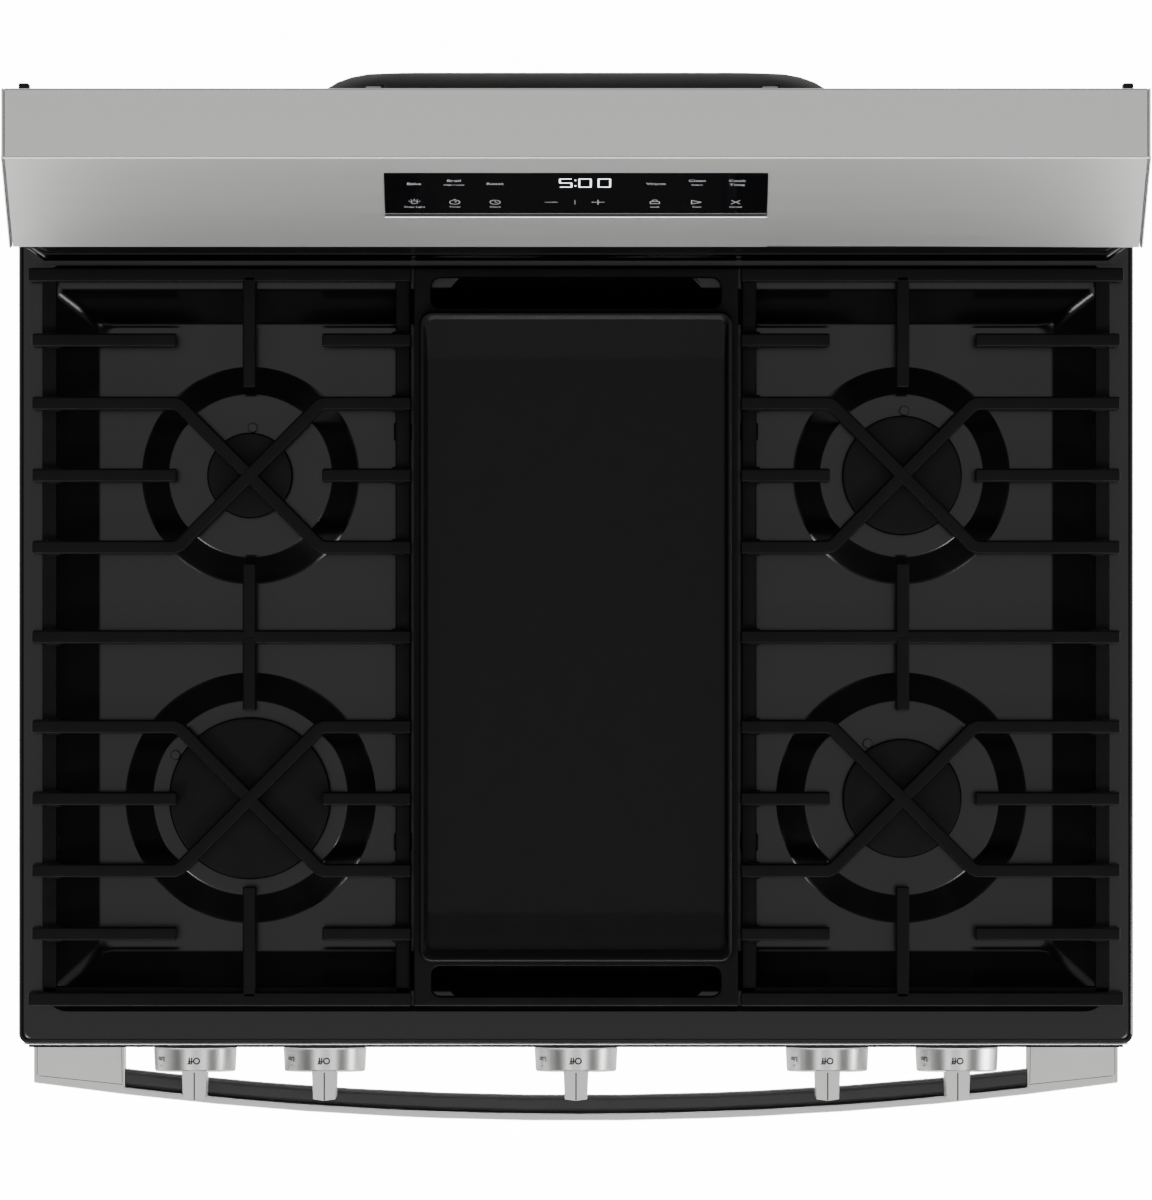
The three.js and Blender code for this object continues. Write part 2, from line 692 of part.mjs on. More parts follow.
add("left_grate", mirrored(rightGrate()), castIron);

const slot = { half: 98.3, depth: 20.4, margin: 7 };
const centreGrateHeight = 18;
const griddle = { half: 106.4, rear: grate.rear - 29.8, front: grate.front + 30.2 };
const centreGrate = () => {
  const { front, rear, middle, centreHalf: half, top } = grate;
  const low = top - centreGrateHeight;
  const plate = block([-half, half], [front, rear], [low, top]);
  const slotShape = (y) => roundedRectangle(-slot.half, slot.half, y, y + slot.depth, 5);
  const slots = [front + slot.margin, rear - slot.margin - slot.depth].map((y) =>
    slab(slotShape(y), low - 1, top + 1, 3),
  );
  const opening = { half: half - 16, front: griddle.front + 12, rear: griddle.rear - 12 };
  const rowsAlong = 4;
  const cell = (opening.rear - opening.front + grate.finger) / rowsAlong;
  const cells = [];
  for (let i = 0; i < rowsAlong; i++) {
    const y = opening.front + i * cell;
    for (const xs of [
      [-opening.half, -grate.finger / 2],
      [grate.finger / 2, opening.half],
    ]) {
      cells.push(block(xs, [y, y + cell - grate.finger], [low - 1, top + 1]));
    }
  }
  const legs = [];
  for (const side of [-1, 1]) {
    for (const end of [-1, 1]) {
      const x = side * (half - legSize / 2);
      const y = middle + end * (burnerSpacing / 2 + 45);
      legs.push(block([x - 6, x + 6], [y - 6, y + 6], [wellFloor + seam, low + 1]));
    }
  }
  return join(cut(plate, ...slots, ...cells), ...legs);
};
add("centre_grate", centreGrate(), castIron);

const griddlePlate = { floor: 4, rim: 12, side: 4, ramp: 26 };
const griddleGeometry = () => {
  const { half, front, rear } = griddle;
  const low = grate.top + seam;
  const { floor, rim, side, ramp } = griddlePlate;
  const tray = block([-half, half], [front, rear], [low, low + rim]);
  const dish = across(
    [
      [front + 3, low + rim + 1],
      [front + 3, low + rim - 2],
      [front + 3 + ramp, low + floor],
      [rear - 7 - ramp, low + floor],
      [rear - 7, low + rim - 2],
      [rear - 7, low + rim + 1],
    ],
    -half + side,
    half - side,
  );
  return cut(tray, dish);
};
add("griddle", griddleGeometry(), castIron);

// ---- Gas: manifold with its valve bodies, and the pressure regulator behind the drawer ----
const knobZ = (panelTop + panelBottom) / 2;
const panelFace = frontEdge - 0.5;
const knobPlaces = [
  ["left_front", -261.6],
  ["left_rear", -172.5],
  ["centre", 0],
  ["right_rear", 172.5],
  ["right_front", 261.6],
];
const stem = { radius: 4, hole: 7, travel: 2.5, intoKnob: 12, intoValve: 18 };
const knob = { radius: 28.5, skirt: 16.5, blade: 17, reach: 36, standOff: 3.2, wall: 2.5, boss: 7.5 };
const valve = { front: panelFace + 24, half: 13, height: 34 };
const manifold = { radius: 9.5, half: cabinetHalf - sheet - seam, behindFlange: 3.7 };
manifold.y = sidesFront + sheet + manifold.behindFlange + manifold.radius;
valve.depth = manifold.y - 5 - valve.front;
const gasManifold = () => {
  const bodies = knobPlaces.map(([, x]) =>
    block(
      [x - valve.half, x + valve.half],
      [valve.front, valve.front + valve.depth],
      [knobZ - valve.height / 2, knobZ + valve.height / 2],
    ),
  );
  const bores = knobPlaces.map(([, x]) =>
    drumY(stem.radius + 0.6, valve.front - 1, valve.front + stem.intoValve + stem.travel + 2, x, knobZ, 12),
  );
  return cut(join(drumX(manifold.radius, -manifold.half, manifold.half, manifold.y, knobZ), ...bodies), ...bores);
};
add("gas_manifold", gasManifold(), brass);

const regulator = { radius: 24, height: 36, x: 250, y: rearPlane - 55, z: door.bottom + 40 };
const gasRegulator = join(
  drumZ(regulator.radius, regulator.z, regulator.z + regulator.height, regulator.x, regulator.y, 20),
  block(
    [regulator.x - 15, regulator.x + 15],
    [regulator.y - 30, regulator.y + 30],
    [regulator.z + 6, regulator.z + 26],
  ),
  drumY(10, regulator.y + 20, rearPlane - sheet - seam, regulator.x, regulator.z + 16, 12),
);
add("gas_regulator", gasRegulator, brass);

// ---- Front control panel and its knobs ----
const panelReturn = sidesFront - seam; // rear edge of the panel's folded edges
const panelHalf = cabinetHalf - 1;
const controlPanel = cut(
  block([-panelHalf, panelHalf], [panelFace, panelReturn], [panelBottom, panelTop]),
  block(
    [-panelHalf + sheet, panelHalf - sheet],
    [panelFace + sheet, panelReturn + 1],
    [panelBottom + sheet, panelTop - sheet],
  ),
  ...knobPlaces.map(([, x]) => drumY(stem.hole, panelFace - 1, panelFace + sheet + 1, x, knobZ, 16)),
);
add("control_panel", controlPanel, stainless);

const knobBack = panelFace - knob.standOff;
for (const [name, x] of knobPlaces) {
  const stemRod = drumY(stem.radius, knobBack - stem.intoKnob, valve.front + stem.intoValve, x, knobZ, 12);
  add(`valve_stem_${name}`, stemRod, brass);
  const skirt = drumY(knob.radius, knobBack - knob.skirt, knobBack, x, knobZ, 24);
  const bladeHalf = [knob.blade / 2, knob.blade / 2 - 1];
  const blade = slab(
    outline([
      [x - bladeHalf[1], knobBack - knob.reach + 1],
      [x, knobBack - knob.reach],
      [x + bladeHalf[1], knobBack - knob.reach + 1],
      [x + bladeHalf[0], knobBack - knob.skirt + 1],
      [x - bladeHalf[0], knobBack - knob.skirt + 1],
    ]),
    knobZ - knob.radius + 1.6,
    knobZ + knob.radius - 1.6,
  );
  const hollow = cut(
    drumY(knob.radius - knob.wall, knobBack - knob.skirt + knob.wall, knobBack + 1, x, knobZ, 24),
    drumY(knob.boss, knobBack - knob.skirt, knobBack + 2, x, knobZ, 16),
  );
  const bore = drumY(stem.radius + 0.6, knobBack - stem.intoKnob - 1, knobBack + 1, x, knobZ, 12);
  add(`knob_${name}`, cut(join(skirt, blade), hollow, bore), aluminium);
}

// ---- Backguard: riser, wedge-shaped control housing, end caps and touch panel ----
const backguardTop = deckHeight + backguardHeight;
const housing = { low: deckHeight + backguardHeight - 137, topDepth: 45.6, sheet: 1.5, cap: 2 };
const riser = { half: width / 2 - 8.5, cornerX: 12, cornerY: 6 };
const riserPlan = (inset) => {
  const [x, y0, y1] = [riser.half - inset, riserFront + inset, rearPlane - inset];
  return outline([
    [-x, y1],
    [-x, y0 + riser.cornerY],
    [-x + riser.cornerX, y0],
    [x - riser.cornerX, y0],
    [x, y0 + riser.cornerY],
    [x, y1],
  ]);
};
const riserTube = cut(
  slab(riserPlan(0), deckHeight + seam, housing.low - seam),
  slab(riserPlan(sheet), deckHeight, housing.low),
);
add("backguard_riser", riserTube, enamel);

const slopeTop = rearPlane - housing.topDepth;
const slopeRun = slopeTop - riserFront;
const slopeRise = backguardTop - housing.low;
const slopeAngle = Math.atan2(slopeRise, slopeRun);
const housingProfile = (inset) => {
  // Points of the slanted front, moved in square to the face.
  const side = inset / Math.sin(slopeAngle);
  const top = inset * Math.tan(slopeAngle / 2);
  const foot = inset / Math.tan(slopeAngle);
  return [
    [riserFront + side + foot, housing.low + inset],
    [rearPlane - inset, housing.low + inset],
    [rearPlane - inset, backguardTop - inset],
    [slopeTop + top, backguardTop - inset],
  ];
};
const touch = { half: 127.5, height: 70, fromTop: 26, thickness: 4, recess: 0.5, clear: 0.4 };
// Places a block drawn flat (x across, y up the slope, z out of the slope) on the slanted front.
const onSlope = (geometry) =>
  geometry.rotateX(slopeAngle).translate(0, slopeTop, backguardTop);
const slopeBlock = (half, top, bottom, out0, out1) => onSlope(block([-half, half], [-bottom, -top], [out0, out1]));
const housingHalf = width / 2 - housing.cap - seam;
const controlHousing = cut(
  across(housingProfile(0), -housingHalf, housingHalf),
  across(housingProfile(housing.sheet), -housingHalf - 1, housingHalf + 1),
  slopeBlock(
    touch.half + touch.clear,
    touch.fromTop - touch.clear,
    touch.fromTop + touch.height + touch.clear,
    -housing.sheet - 2,
    2,
  ),
);
add("control_housing", controlHousing, stainless);
add(
  "touch_panel",
  slopeBlock(
    touch.half,
    touch.fromTop,
    touch.fromTop + touch.height,
    -touch.recess - touch.thickness,
    -touch.recess,
  ),
  glass,
);
for (const [name, x0] of [
  ["left", -width / 2],
  ["right", width / 2 - housing.cap],
]) {
  add(`${name}_end_cap`, across(housingProfile(0), x0, x0 + housing.cap), stainless);
}

// ---- Oven door: outer shell, window, inner panel, handle; hinge arms stay with the cabinet ----
const doorSheet = 1.3;
const windowOpening = { half: 262, bottom: door.bottom + 132, top: door.top - 132 };
const slotTool = (side) =>
  block(
    [side * hinge.x - hinge.slot / 2, side * hinge.x + hinge.slot / 2],
    [hinge.y - 8, doorBack + 1],
    [door.bottom - 1, hinge.z + 9],
  );
const doorShell = () => {
  const outer = block([-door.half, door.half], [doorFace, doorBack - 6], [door.bottom, door.top]);
  const hollow = block(
    [-door.half + doorSheet, door.half - doorSheet],
    [doorFace + doorSheet, doorBack],
    [door.bottom + doorSheet, door.top - doorSheet],
  );
  const opening = block(
    [-windowOpening.half, windowOpening.half],
    [doorFace - 1, doorFace + doorSheet + 1],
    [windowOpening.bottom, windowOpening.top],
  );
  return cut(outer, hollow, opening, slotTool(-1), slotTool(1));
};
add("door_shell", doorShell(), stainless);
const windowLap = 14;
add(
  "door_window",
  block(
    [-windowOpening.half - windowLap, windowOpening.half + windowLap],
    [doorFace + doorSheet + seam, doorFace + doorSheet + seam + 4],
    [windowOpening.bottom - windowLap, windowOpening.top + windowLap],
  ),
  glass,
);
const innerWindow = { half: 205, bottom: windowOpening.bottom + 30, top: windowOpening.top - 30 };
const innerBottom = hinge.z + 2; // no lower, so that the rear edge swings clear of the oven frame
const doorInnerPanel = () => {
  const plate = block(
    [-door.half + 1, door.half - 1],
    [doorBack - 6 + seam, doorBack],
    [innerBottom, door.top - 1],
  );
  const hollow = block(
    [-door.half + 3, door.half - 3],
    [doorBack - 6, doorBack - doorSheet],
    [innerBottom + 2, door.top - 3],
  );
  const opening = block(
    [-innerWindow.half, innerWindow.half],
    [doorBack - 3, doorBack + 1],
    [innerWindow.bottom, innerWindow.top],
  );
  // Ears that carry the hinge pins.
  const ears = [];
  const pins = [];
  for (const side of [-1, 1]) {
    for (const offset of [-hinge.slot / 2 - 2.5, hinge.slot / 2 + 0.5]) {
      const x = side * hinge.x + offset;
      const profile = [
        [hinge.y - 6, hinge.z - 6],
        [hinge.y + 8, hinge.z - 6],
        [doorBack - 1, hinge.z + 4],
        [doorBack - 1, hinge.z + 14],
        [hinge.y - 6, hinge.z + 10],
      ];
      ears.push(across(profile, x, x + 2));
    }
    pins.push(drumX(hinge.pin + 0.8, side * hinge.x - 12, side * hinge.x + 12, hinge.y, hinge.z, 16));
  }
  return cut(join(cut(plate, hollow, opening), ...ears), slotTool(-1), slotTool(1), ...pins);
};
add("door_inner_panel", doorInnerPanel(), cavityEnamel);

for (const [name, side] of [
  ["left", -1],
  ["right", 1],
]) {
  const x = side * hinge.x;
  const arm = block([x - hinge.arm / 2, x + hinge.arm / 2], [hinge.y - 6, bodyFront + 60], [hinge.z - 5, hinge.z + 5]);
  const hook = block(
    [x - hinge.arm / 2, x + hinge.arm / 2],
    [bodyFront + 30, bodyFront + 60],
    [hinge.z - 5, hinge.z + 20],
  );
  const pin = drumX(hinge.pin, x - 8, x + 8, hinge.y, hinge.z, 12);
  const plateFront = bodyFront + linerFlange + seam;
  const plate = block([x - 9, x + 9], [plateFront, plateFront + 2], [hinge.z - 18, hinge.z + 34]);
  add(`door_hinge_${name}`, join(arm, hook, pin, plate), galvanised);
}

// The handle bows forward: a bright face strip and two end brackets, with a dark grip behind the strip.
const handle = {
  half: 375,
  ends: frontEdge - 30.5, // outer face of the strip at its ends
  strip: 5,
  grip: 12,
  bracket: 63,
  top: door.top - 14,
  height: 30,
};
const handleFront = frontEdge - handleReach;
const bow = handle.ends - handleFront;
const bowRadius = (handle.half ** 2 + bow ** 2) / (2 * bow);
const bowY = (x, back) => handleFront + bowRadius - Math.sqrt((bowRadius - back) ** 2 - x ** 2);
// A plan strip that follows the bow, between two depths behind its front face.
const bowStrip = (half, near, far, steps) => {
  const edge = (back) =>
    Array.from({ length: steps + 1 }, (_, i) => -half + (2 * half * i) / steps).map((x) => [x, bowY(x, back)]);
  return outline([...edge(near), ...edge(far).reverse()]);
};
const handleZ = [handle.top - handle.height, handle.top];
const handleFrame = () => {
  const strip = slab(bowStrip(handle.half, 0, handle.strip, 24), ...handleZ);
  const brackets = [-1, 1].map((side) => {
    const [xOut, xIn] = [side * handle.half, side * (handle.half - handle.bracket)];
    const points = [
      [xOut, doorFace - seam],
      [xOut, bowY(xOut, handle.strip) - 1],
      [xIn, bowY(xIn, handle.strip) - 1],
      [xIn, doorFace - seam],
    ];
    return slab(outline(side > 0 ? points : points.reverse()), ...handleZ);
  });
  return join(strip, ...brackets);
};
add("handle_frame", handleFrame(), stainless);
const gripHalf = handle.half - handle.bracket - seam;
add(
  "handle_grip",
  slab(
    bowStrip(gripHalf, handle.strip + seam, handle.strip + seam + handle.grip, 20),
    handleZ[0] + 2,
    handleZ[1] - 1,
  ),
  gripPaint,
);

// ---- Storage drawer ----
const drawerFront = () => {
  const y1 = doorFace + drawer.panel;
  const outer = block([-door.half, door.half], [doorFace, y1], [drawer.bottom, drawer.top]);
  const hollow = block(
    [-door.half + doorSheet, door.half - doorSheet],
    [doorFace + doorSheet, y1 - doorSheet],
    [drawer.bottom - 1, drawer.top - doorSheet],
  );
  return cut(outer, hollow);
};
add("drawer_front", drawerFront(), stainless);
const drawerBox = () => {
  const { boxHalf, boxBottom, boxTop, boxDepth, wall, lipZ, lip } = drawer;
  const y0 = doorFace + drawer.panel + seam;
  const y1 = y0 + boxDepth;
  const box = block([-boxHalf, boxHalf], [y0, y1], [boxBottom, boxTop]);
  const hollow = block([-boxHalf + wall, boxHalf - wall], [y0 + wall, y1 - wall], [boxBottom + wall, boxTop + 1]);
  const lips = [-1, 1].map((side) => {
    const xs = [side * (boxHalf - 0.5), side * (boxHalf + lip)].sort((a, b) => a - b);
    return block(xs, [base.front + 6, y1], [lipZ, lipZ + 2]);
  });
  return join(cut(box, hollow), ...lips);
};
add("drawer_box", drawerBox(), galvanised);

export default range;
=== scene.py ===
import json
import math

import bmesh
import bpy
from mathutils import Matrix, Vector


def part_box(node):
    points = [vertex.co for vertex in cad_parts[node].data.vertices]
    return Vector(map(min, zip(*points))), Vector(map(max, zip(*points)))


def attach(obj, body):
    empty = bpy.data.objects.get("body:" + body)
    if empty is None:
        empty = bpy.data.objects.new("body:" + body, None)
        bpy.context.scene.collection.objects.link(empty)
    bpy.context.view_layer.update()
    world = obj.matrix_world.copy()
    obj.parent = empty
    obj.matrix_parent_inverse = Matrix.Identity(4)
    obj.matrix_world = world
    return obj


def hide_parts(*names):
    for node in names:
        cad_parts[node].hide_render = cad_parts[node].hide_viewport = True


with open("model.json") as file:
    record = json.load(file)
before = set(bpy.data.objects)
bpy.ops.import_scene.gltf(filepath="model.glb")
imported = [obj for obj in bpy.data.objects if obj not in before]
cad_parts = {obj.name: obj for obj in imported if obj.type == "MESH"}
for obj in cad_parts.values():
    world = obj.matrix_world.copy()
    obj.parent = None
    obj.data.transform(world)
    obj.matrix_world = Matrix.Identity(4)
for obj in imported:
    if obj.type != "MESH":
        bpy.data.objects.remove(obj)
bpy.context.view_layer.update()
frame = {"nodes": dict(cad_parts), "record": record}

nodes = frame["nodes"]
upright = Matrix.Rotation(math.radians(90), 4, "X")  # stands a flat shape up to face forward


# ways of making shapes

def loopPlate(shape, left, right, front, rear, radius, level, steps):
    # one rounded rectangle, left as a single face
    size = Matrix.Diagonal((right - left, rear - front, 1, 1))
    middle = Matrix.Translation(((left + right) / 2, (front + rear) / 2, level))
    corners = bmesh.ops.create_grid(shape, x_segments=1, y_segments=1, size=0.5,
                                    matrix=middle @ size)["verts"]
    if radius > 0:
        bmesh.ops.bevel(shape, geom=corners, offset=radius, offset_type="OFFSET", segments=steps, profile=0.5,
                        affect="VERTICES", material=-1)


def stackedPlates(plates, steps=5, closeFirst=True, closeLast=True):
    # rounded rectangles as left, right, front, rear, height and radius,
    # bridged while they stand apart and then set to their heights
    shape = bmesh.new()
    loops, spread = [], 0.3
    for number, (left, right, front, rear, _, radius) in enumerate(plates):
        before = set(shape.edges)
        loopPlate(shape, left, right, front, rear, radius, number * spread, steps)
        own = [edge for edge in shape.edges if edge not in before]
        loops.append(own)
        last = number == len(plates) - 1
        if not ((number == 0 and closeFirst) or (last and closeLast)):
            faces = list({face for edge in own for face in edge.link_faces})
            bmesh.ops.delete(shape, geom=faces, context="FACES_ONLY")
    for lower, higher in zip(loops, loops[1:]):
        bmesh.ops.bridge_loops(shape, edges=lower + higher)
    for vert in shape.verts:
        vert.co.z = plates[round(vert.co.z / spread)][4]
    return shape


def turned(profile, steps=64, centre=(0, 0, 0), ring=True):
    # (radius, height) points spun about Z
    shape = bmesh.new()
    points = [shape.verts.new((radius, 0, height)) for radius, height in profile]
    lines = [shape.edges.new(pair) for pair in zip(points, points[1:])]
    if ring and profile[0][0] > 1e-6 and profile[-1][0] > 1e-6:
        lines.append(shape.edges.new((points[-1], points[0])))
    bmesh.ops.spin(shape, geom=points + lines, cent=(0, 0, 0), axis=(0, 0, 1), angle=math.tau, steps=steps,
                   use_merge=True)
    bmesh.ops.remove_doubles(shape, verts=shape.verts, dist=1e-6)
    bmesh.ops.translate(shape, verts=shape.verts, vec=centre)
    return shape


def swept(profile, path, level=0):
    # a (sideways, height) profile drawn along a plan path, mitred at each turn
    shape = bmesh.new()
    points = [Vector((x, y, level)) for x, y in path]
    headings = [math.atan2(b.y - a.y, b.x - a.x) for a, b in zip(points, points[1:])]
    stations = []
    for number, point in enumerate(points):
        before = headings[max(number - 1, 0)]
        after = headings[min(number, len(headings) - 1)]
        half = math.remainder(after - before, math.tau) / 2
        wide = 1 / math.cos(half)
        turn = Matrix.Rotation(before + half, 4, "Z")
        stations.append(Matrix.Translation(point) @ turn @ Matrix.Diagonal((1, wide, 1, 1)))
    section = [shape.verts.new(stations[0] @ Vector((0, u, z))) for u, z in profile]
    face = shape.faces.new(section)
    for number, (here, there) in enumerate(zip(stations, stations[1:])):
        face = pushed(shape, face, there @ here.inverted(), number > 0)
    return shape


def pushed(shape, face, matrix, openBehind=True):
    # extrudes one face, leaving no inner face behind it
    grown = bmesh.ops.extrude_face_region(shape, geom=[face])["geom"]
    moved = [item for item in grown if isinstance(item, bmesh.types.BMVert)]
    bmesh.ops.transform(shape, matrix=matrix, verts=moved)
    if openBehind and face.is_valid:
        bmesh.ops.delete(shape, geom=[face], context="FACES_ONLY")
    return next(item for item in grown if isinstance(item, bmesh.types.BMFace))


def block(low, high):
    size = [b - a for a, b in zip(low, high)]
    middle = [(a + b) / 2 for a, b in zip(low, high)]
    shape = bmesh.new()
    bmesh.ops.create_cube(shape, size=1, matrix=Matrix.Translation(middle) @ Matrix.Diagonal((*size, 1)))
    return shape


def rod(radius, start, end, sides=16):
    start, end = Vector(start), Vector(end)
    shape = bmesh.new()
    bmesh.ops.create_cone(shape, cap_ends=True, segments=sides, radius1=radius, radius2=radius,
                          depth=(end - start).length)
    turn = (end - start).to_track_quat("Z", "Y").to_matrix().to_4x4()
    bmesh.ops.transform(shape, matrix=Matrix.Translation((start + end) / 2) @ turn, verts=shape.verts)
    return shape


def foldsOf(shape, turn):
    return [edge for edge in shape.edges if len(edge.link_faces) == 2 and edge.calc_face_angle(0) > turn]


def bevelled(shape, edges, width, segments):
    bmesh.ops.bevel(shape, geom=edges, offset=width, offset_type="OFFSET", segments=segments, profile=0.5,
                    affect="EDGES", material=-1, clamp_overlap=True)
    return shape


def eased(shape, width, steps=2, sharperThan=30):
    # rounds every edge that turns by more than an angle
    bmesh.ops.recalc_face_normals(shape, faces=shape.faces)
    return bevelled(shape, foldsOf(shape, math.radians(sharperThan)), width, steps)


def prism(points, travel):
    # a flat outline drawn straight out
    shape = bmesh.new()
    face = shape.faces.new([shape.verts.new(point) for point in points])
    grown = bmesh.ops.extrude_face_region(shape, geom=[face])["geom"]
    moved = [item for item in grown if isinstance(item, bmesh.types.BMVert)]
    bmesh.ops.translate(shape, verts=moved, vec=travel)
    bmesh.ops.recalc_face_normals(shape, faces=shape.faces)
    return shape


def plate(box, out, height, radius):
    # one rounded rectangle of a stack, grown outward on every side
    left, right, front, rear = box
    return (left - out, right + out, front - out, rear + out, height, radius)


def arcPoints(start, stop, step):
    turns = [math.radians(angle) for angle in range(start, stop, step)]
    return [(math.cos(turn), math.sin(turn)) for turn in turns]


def crossRod(radius, half, y, z, sides):
    # a rod that runs from side to side
    return rod(radius, (-half, y, z), (half, y, z), sides)


def copied(node, width=0.0, steps=2, sharperThan=30):
    # the CAD piece's own shape, merged and with its edges eased
    shape = bmesh.new()
    shape.from_mesh(nodes[node].data)
    bmesh.ops.remove_doubles(shape, verts=shape.verts, dist=1e-5)
    bmesh.ops.dissolve_limit(shape, angle_limit=math.radians(1), verts=shape.verts, edges=shape.edges)
    if width:
        eased(shape, width, steps, sharperThan)
    return shape


def together(*shapes):
    whole = bmesh.new()
    for shape in shapes:
        carrier = bpy.data.meshes.new("carrier")
        shape.to_mesh(carrier)
        shape.free()
        whole.from_mesh(carrier)
        bpy.data.meshes.remove(carrier)
    return whole


def placed(shape, matrix):
    bmesh.ops.transform(shape, matrix=matrix, verts=shape.verts)
    return shape


def mirroredAcross(shape):
    placed(shape, Matrix.Diagonal((-1, 1, 1, 1)))
    bmesh.ops.reverse_faces(shape, faces=shape.faces)
    return shape


def lettering(words, size, depth=0.00012, bold=0.0):
    curve = bpy.data.curves.new("letters", "FONT")
    curve.body = words
    curve.size = size
    curve.align_x = "CENTER"
    curve.align_y = "CENTER"
    curve.extrude = depth
    curve.offset = size * bold
    curve.resolution_u = 3
    holder = bpy.data.objects.new("letters", curve)
    mesh = bpy.data.meshes.new_from_object(holder)
    shape = bmesh.new()
    shape.from_mesh(mesh)
    bpy.data.objects.remove(holder)
    bpy.data.curves.remove(curve)
    bpy.data.meshes.remove(mesh)
    return shape


def finished(name, shape, material, body, stands=(), turnSharp=32, outward=True):
    if outward:
        bmesh.ops.recalc_face_normals(shape, faces=shape.faces)
    mesh = bpy.data.meshes.new(name)
    shape.to_mesh(mesh)
    shape.free()
    mesh.materials.append(material)
    mesh.shade_smooth()
    mesh.set_sharp_from_angle(angle=math.radians(turnSharp))
    piece = bpy.data.objects.new(name, mesh)
    bpy.context.scene.collection.objects.link(piece)
    even = piece.modifiers.new("evenNormals", "WEIGHTED_NORMAL")
    even.keep_sharp = True
    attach(piece, body)
    if stands:
        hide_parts(*stands)
    return piece


def bodyOf(node):
    return next(body for body, names in frame["record"]["behaviour"]["bodies"].items() if node in names)


# shared surface effects, one node group each

def newGroup(name, inputs, outputs):
    group = bpy.data.node_groups.new(name, "ShaderNodeTree")
    for label, kind, value in inputs:
        socket = group.interface.new_socket(label, in_out="INPUT", socket_type=kind)
        socket.default_value = value
    for label, kind in outputs:
        group.interface.new_socket(label, in_out="OUTPUT", socket_type=kind)
    start = group.nodes.new("NodeGroupInput")
    end = group.nodes.new("NodeGroupOutput")
    return group, start, end


def fed(tree, value, socket):
    # links another node's result, or sets a constant
    if isinstance(value, bpy.types.NodeSocket):
        tree.links.new(value, socket)
    else:
        socket.default_value = value


def mathNode(tree, operation, first, second):
    node = tree.nodes.new("ShaderNodeMath")
    node.operation = operation
    fed(tree, first, node.inputs[0])
    fed(tree, second, node.inputs[1])
    return node.outputs[0]


def noiseNode(tree, vector, scale, detail=3.0, rough=0.55):
    node = tree.nodes.new("ShaderNodeTexNoise")
    for label, value in (("Vector", vector), ("Scale", scale), ("Detail", detail), ("Roughness", rough)):
        fed(tree, value, node.inputs[label])
    return node.outputs["Fac"]


def stretchedCoordinates(tree, stretch):
    place = tree.nodes.new("ShaderNodeTexCoord")
    mapping = tree.nodes.new("ShaderNodeMapping")
    mapping.inputs["Scale"].default_value = stretch
    tree.links.new(place.outputs["Object"], mapping.inputs["Vector"])
    return mapping.outputs["Vector"]


def mappedRange(tree, value, low, high, toLow, toHigh):
    node = tree.nodes.new("ShaderNodeMapRange")
    tree.links.new(value, node.inputs["Value"])
    for label, amount in (("From Min", low), ("From Max", high), ("To Min", toLow), ("To Max", toHigh)):
        fed(tree, amount, node.inputs[label])
    return node.outputs["Result"]


def weighed(tree, value, factor, base):
    return mathNode(tree, "ADD", mathNode(tree, "MULTIPLY", value, factor), base)


def toned(tree, colour, tone):
    scale = tree.nodes.new("ShaderNodeVectorMath")
    scale.operation = "SCALE"
    tree.links.new(colour, scale.inputs[0])
    tree.links.new(tone, scale.inputs["Scale"])
    return scale.outputs["Vector"]


def mixedColour(tree, factor, first, second):
    # a colour mix has its factor, two colours and result at these places
    mix = tree.nodes.new("ShaderNodeMix")
    mix.data_type = "RGBA"
    for number, value in ((0, factor), (6, first), (7, second)):
        fed(tree, value, mix.inputs[number])
    return mix.outputs[2]


def sendOut(group, end, **results):
    for label, socket in results.items():
        group.links.new(socket, end.inputs[label])


surfaceOutputs = [("Colour", "NodeSocketColor"), ("Roughness", "NodeSocketFloat"),
                  ("Height", "NodeSocketFloat")]


def brushedGroup():
    # fine parallel lines with a slow drift in tone
    group, start, end = newGroup("brushedLines", [
        ("Vector", "NodeSocketVector", (0, 0, 0)), ("Roughness", "NodeSocketFloat", 0.3),
        ("Spread", "NodeSocketFloat", 0.08), ("Colour", "NodeSocketColor", (0.6, 0.6, 0.6, 1)),
        ("Shade", "NodeSocketFloat", 0.08)], surfaceOutputs)
    given = start.outputs
    lines = noiseNode(group, given["Vector"], 1.0, 4, 0.6)
    drift = noiseNode(group, given["Vector"], 0.06, 2, 0.5)
    both = weighed(group, lines, 0.7, mathNode(group, "MULTIPLY", drift, 0.3))
    centred = mathNode(group, "SUBTRACT", both, 0.5)
    sendOut(group, end, Colour=toned(group, given["Colour"], weighed(group, centred, given["Shade"], 1.0)),
            Roughness=weighed(group, centred, given["Spread"], given["Roughness"]), Height=lines)
    return group


def grainGroup():
    # sand-cast grain: small pits over a slower unevenness
    group, start, end = newGroup("castGrain", [
        ("Scale", "NodeSocketFloat", 900.0), ("Colour", "NodeSocketColor", (0.01, 0.01, 0.01, 1)),
        ("Roughness", "NodeSocketFloat", 0.6), ("Spread", "NodeSocketFloat", 0.2)], surfaceOutputs)
    given = start.outputs
    place = group.nodes.new("ShaderNodeTexCoord").outputs["Object"]
    fine = noiseNode(group, place, given["Scale"], 3, 0.6)
    slow = noiseNode(group, place, 60, 3, 0.5)
    height = weighed(group, fine, 0.75, mathNode(group, "MULTIPLY", slow, 0.25))
    centred = mathNode(group, "SUBTRACT", slow, 0.5)
    sendOut(group, end, Colour=toned(group, given["Colour"], mappedRange(group, height, 0.3, 0.7, 0.75, 1.3)),
            Roughness=weighed(group, centred, given["Spread"], given["Roughness"]), Height=height)
    return group


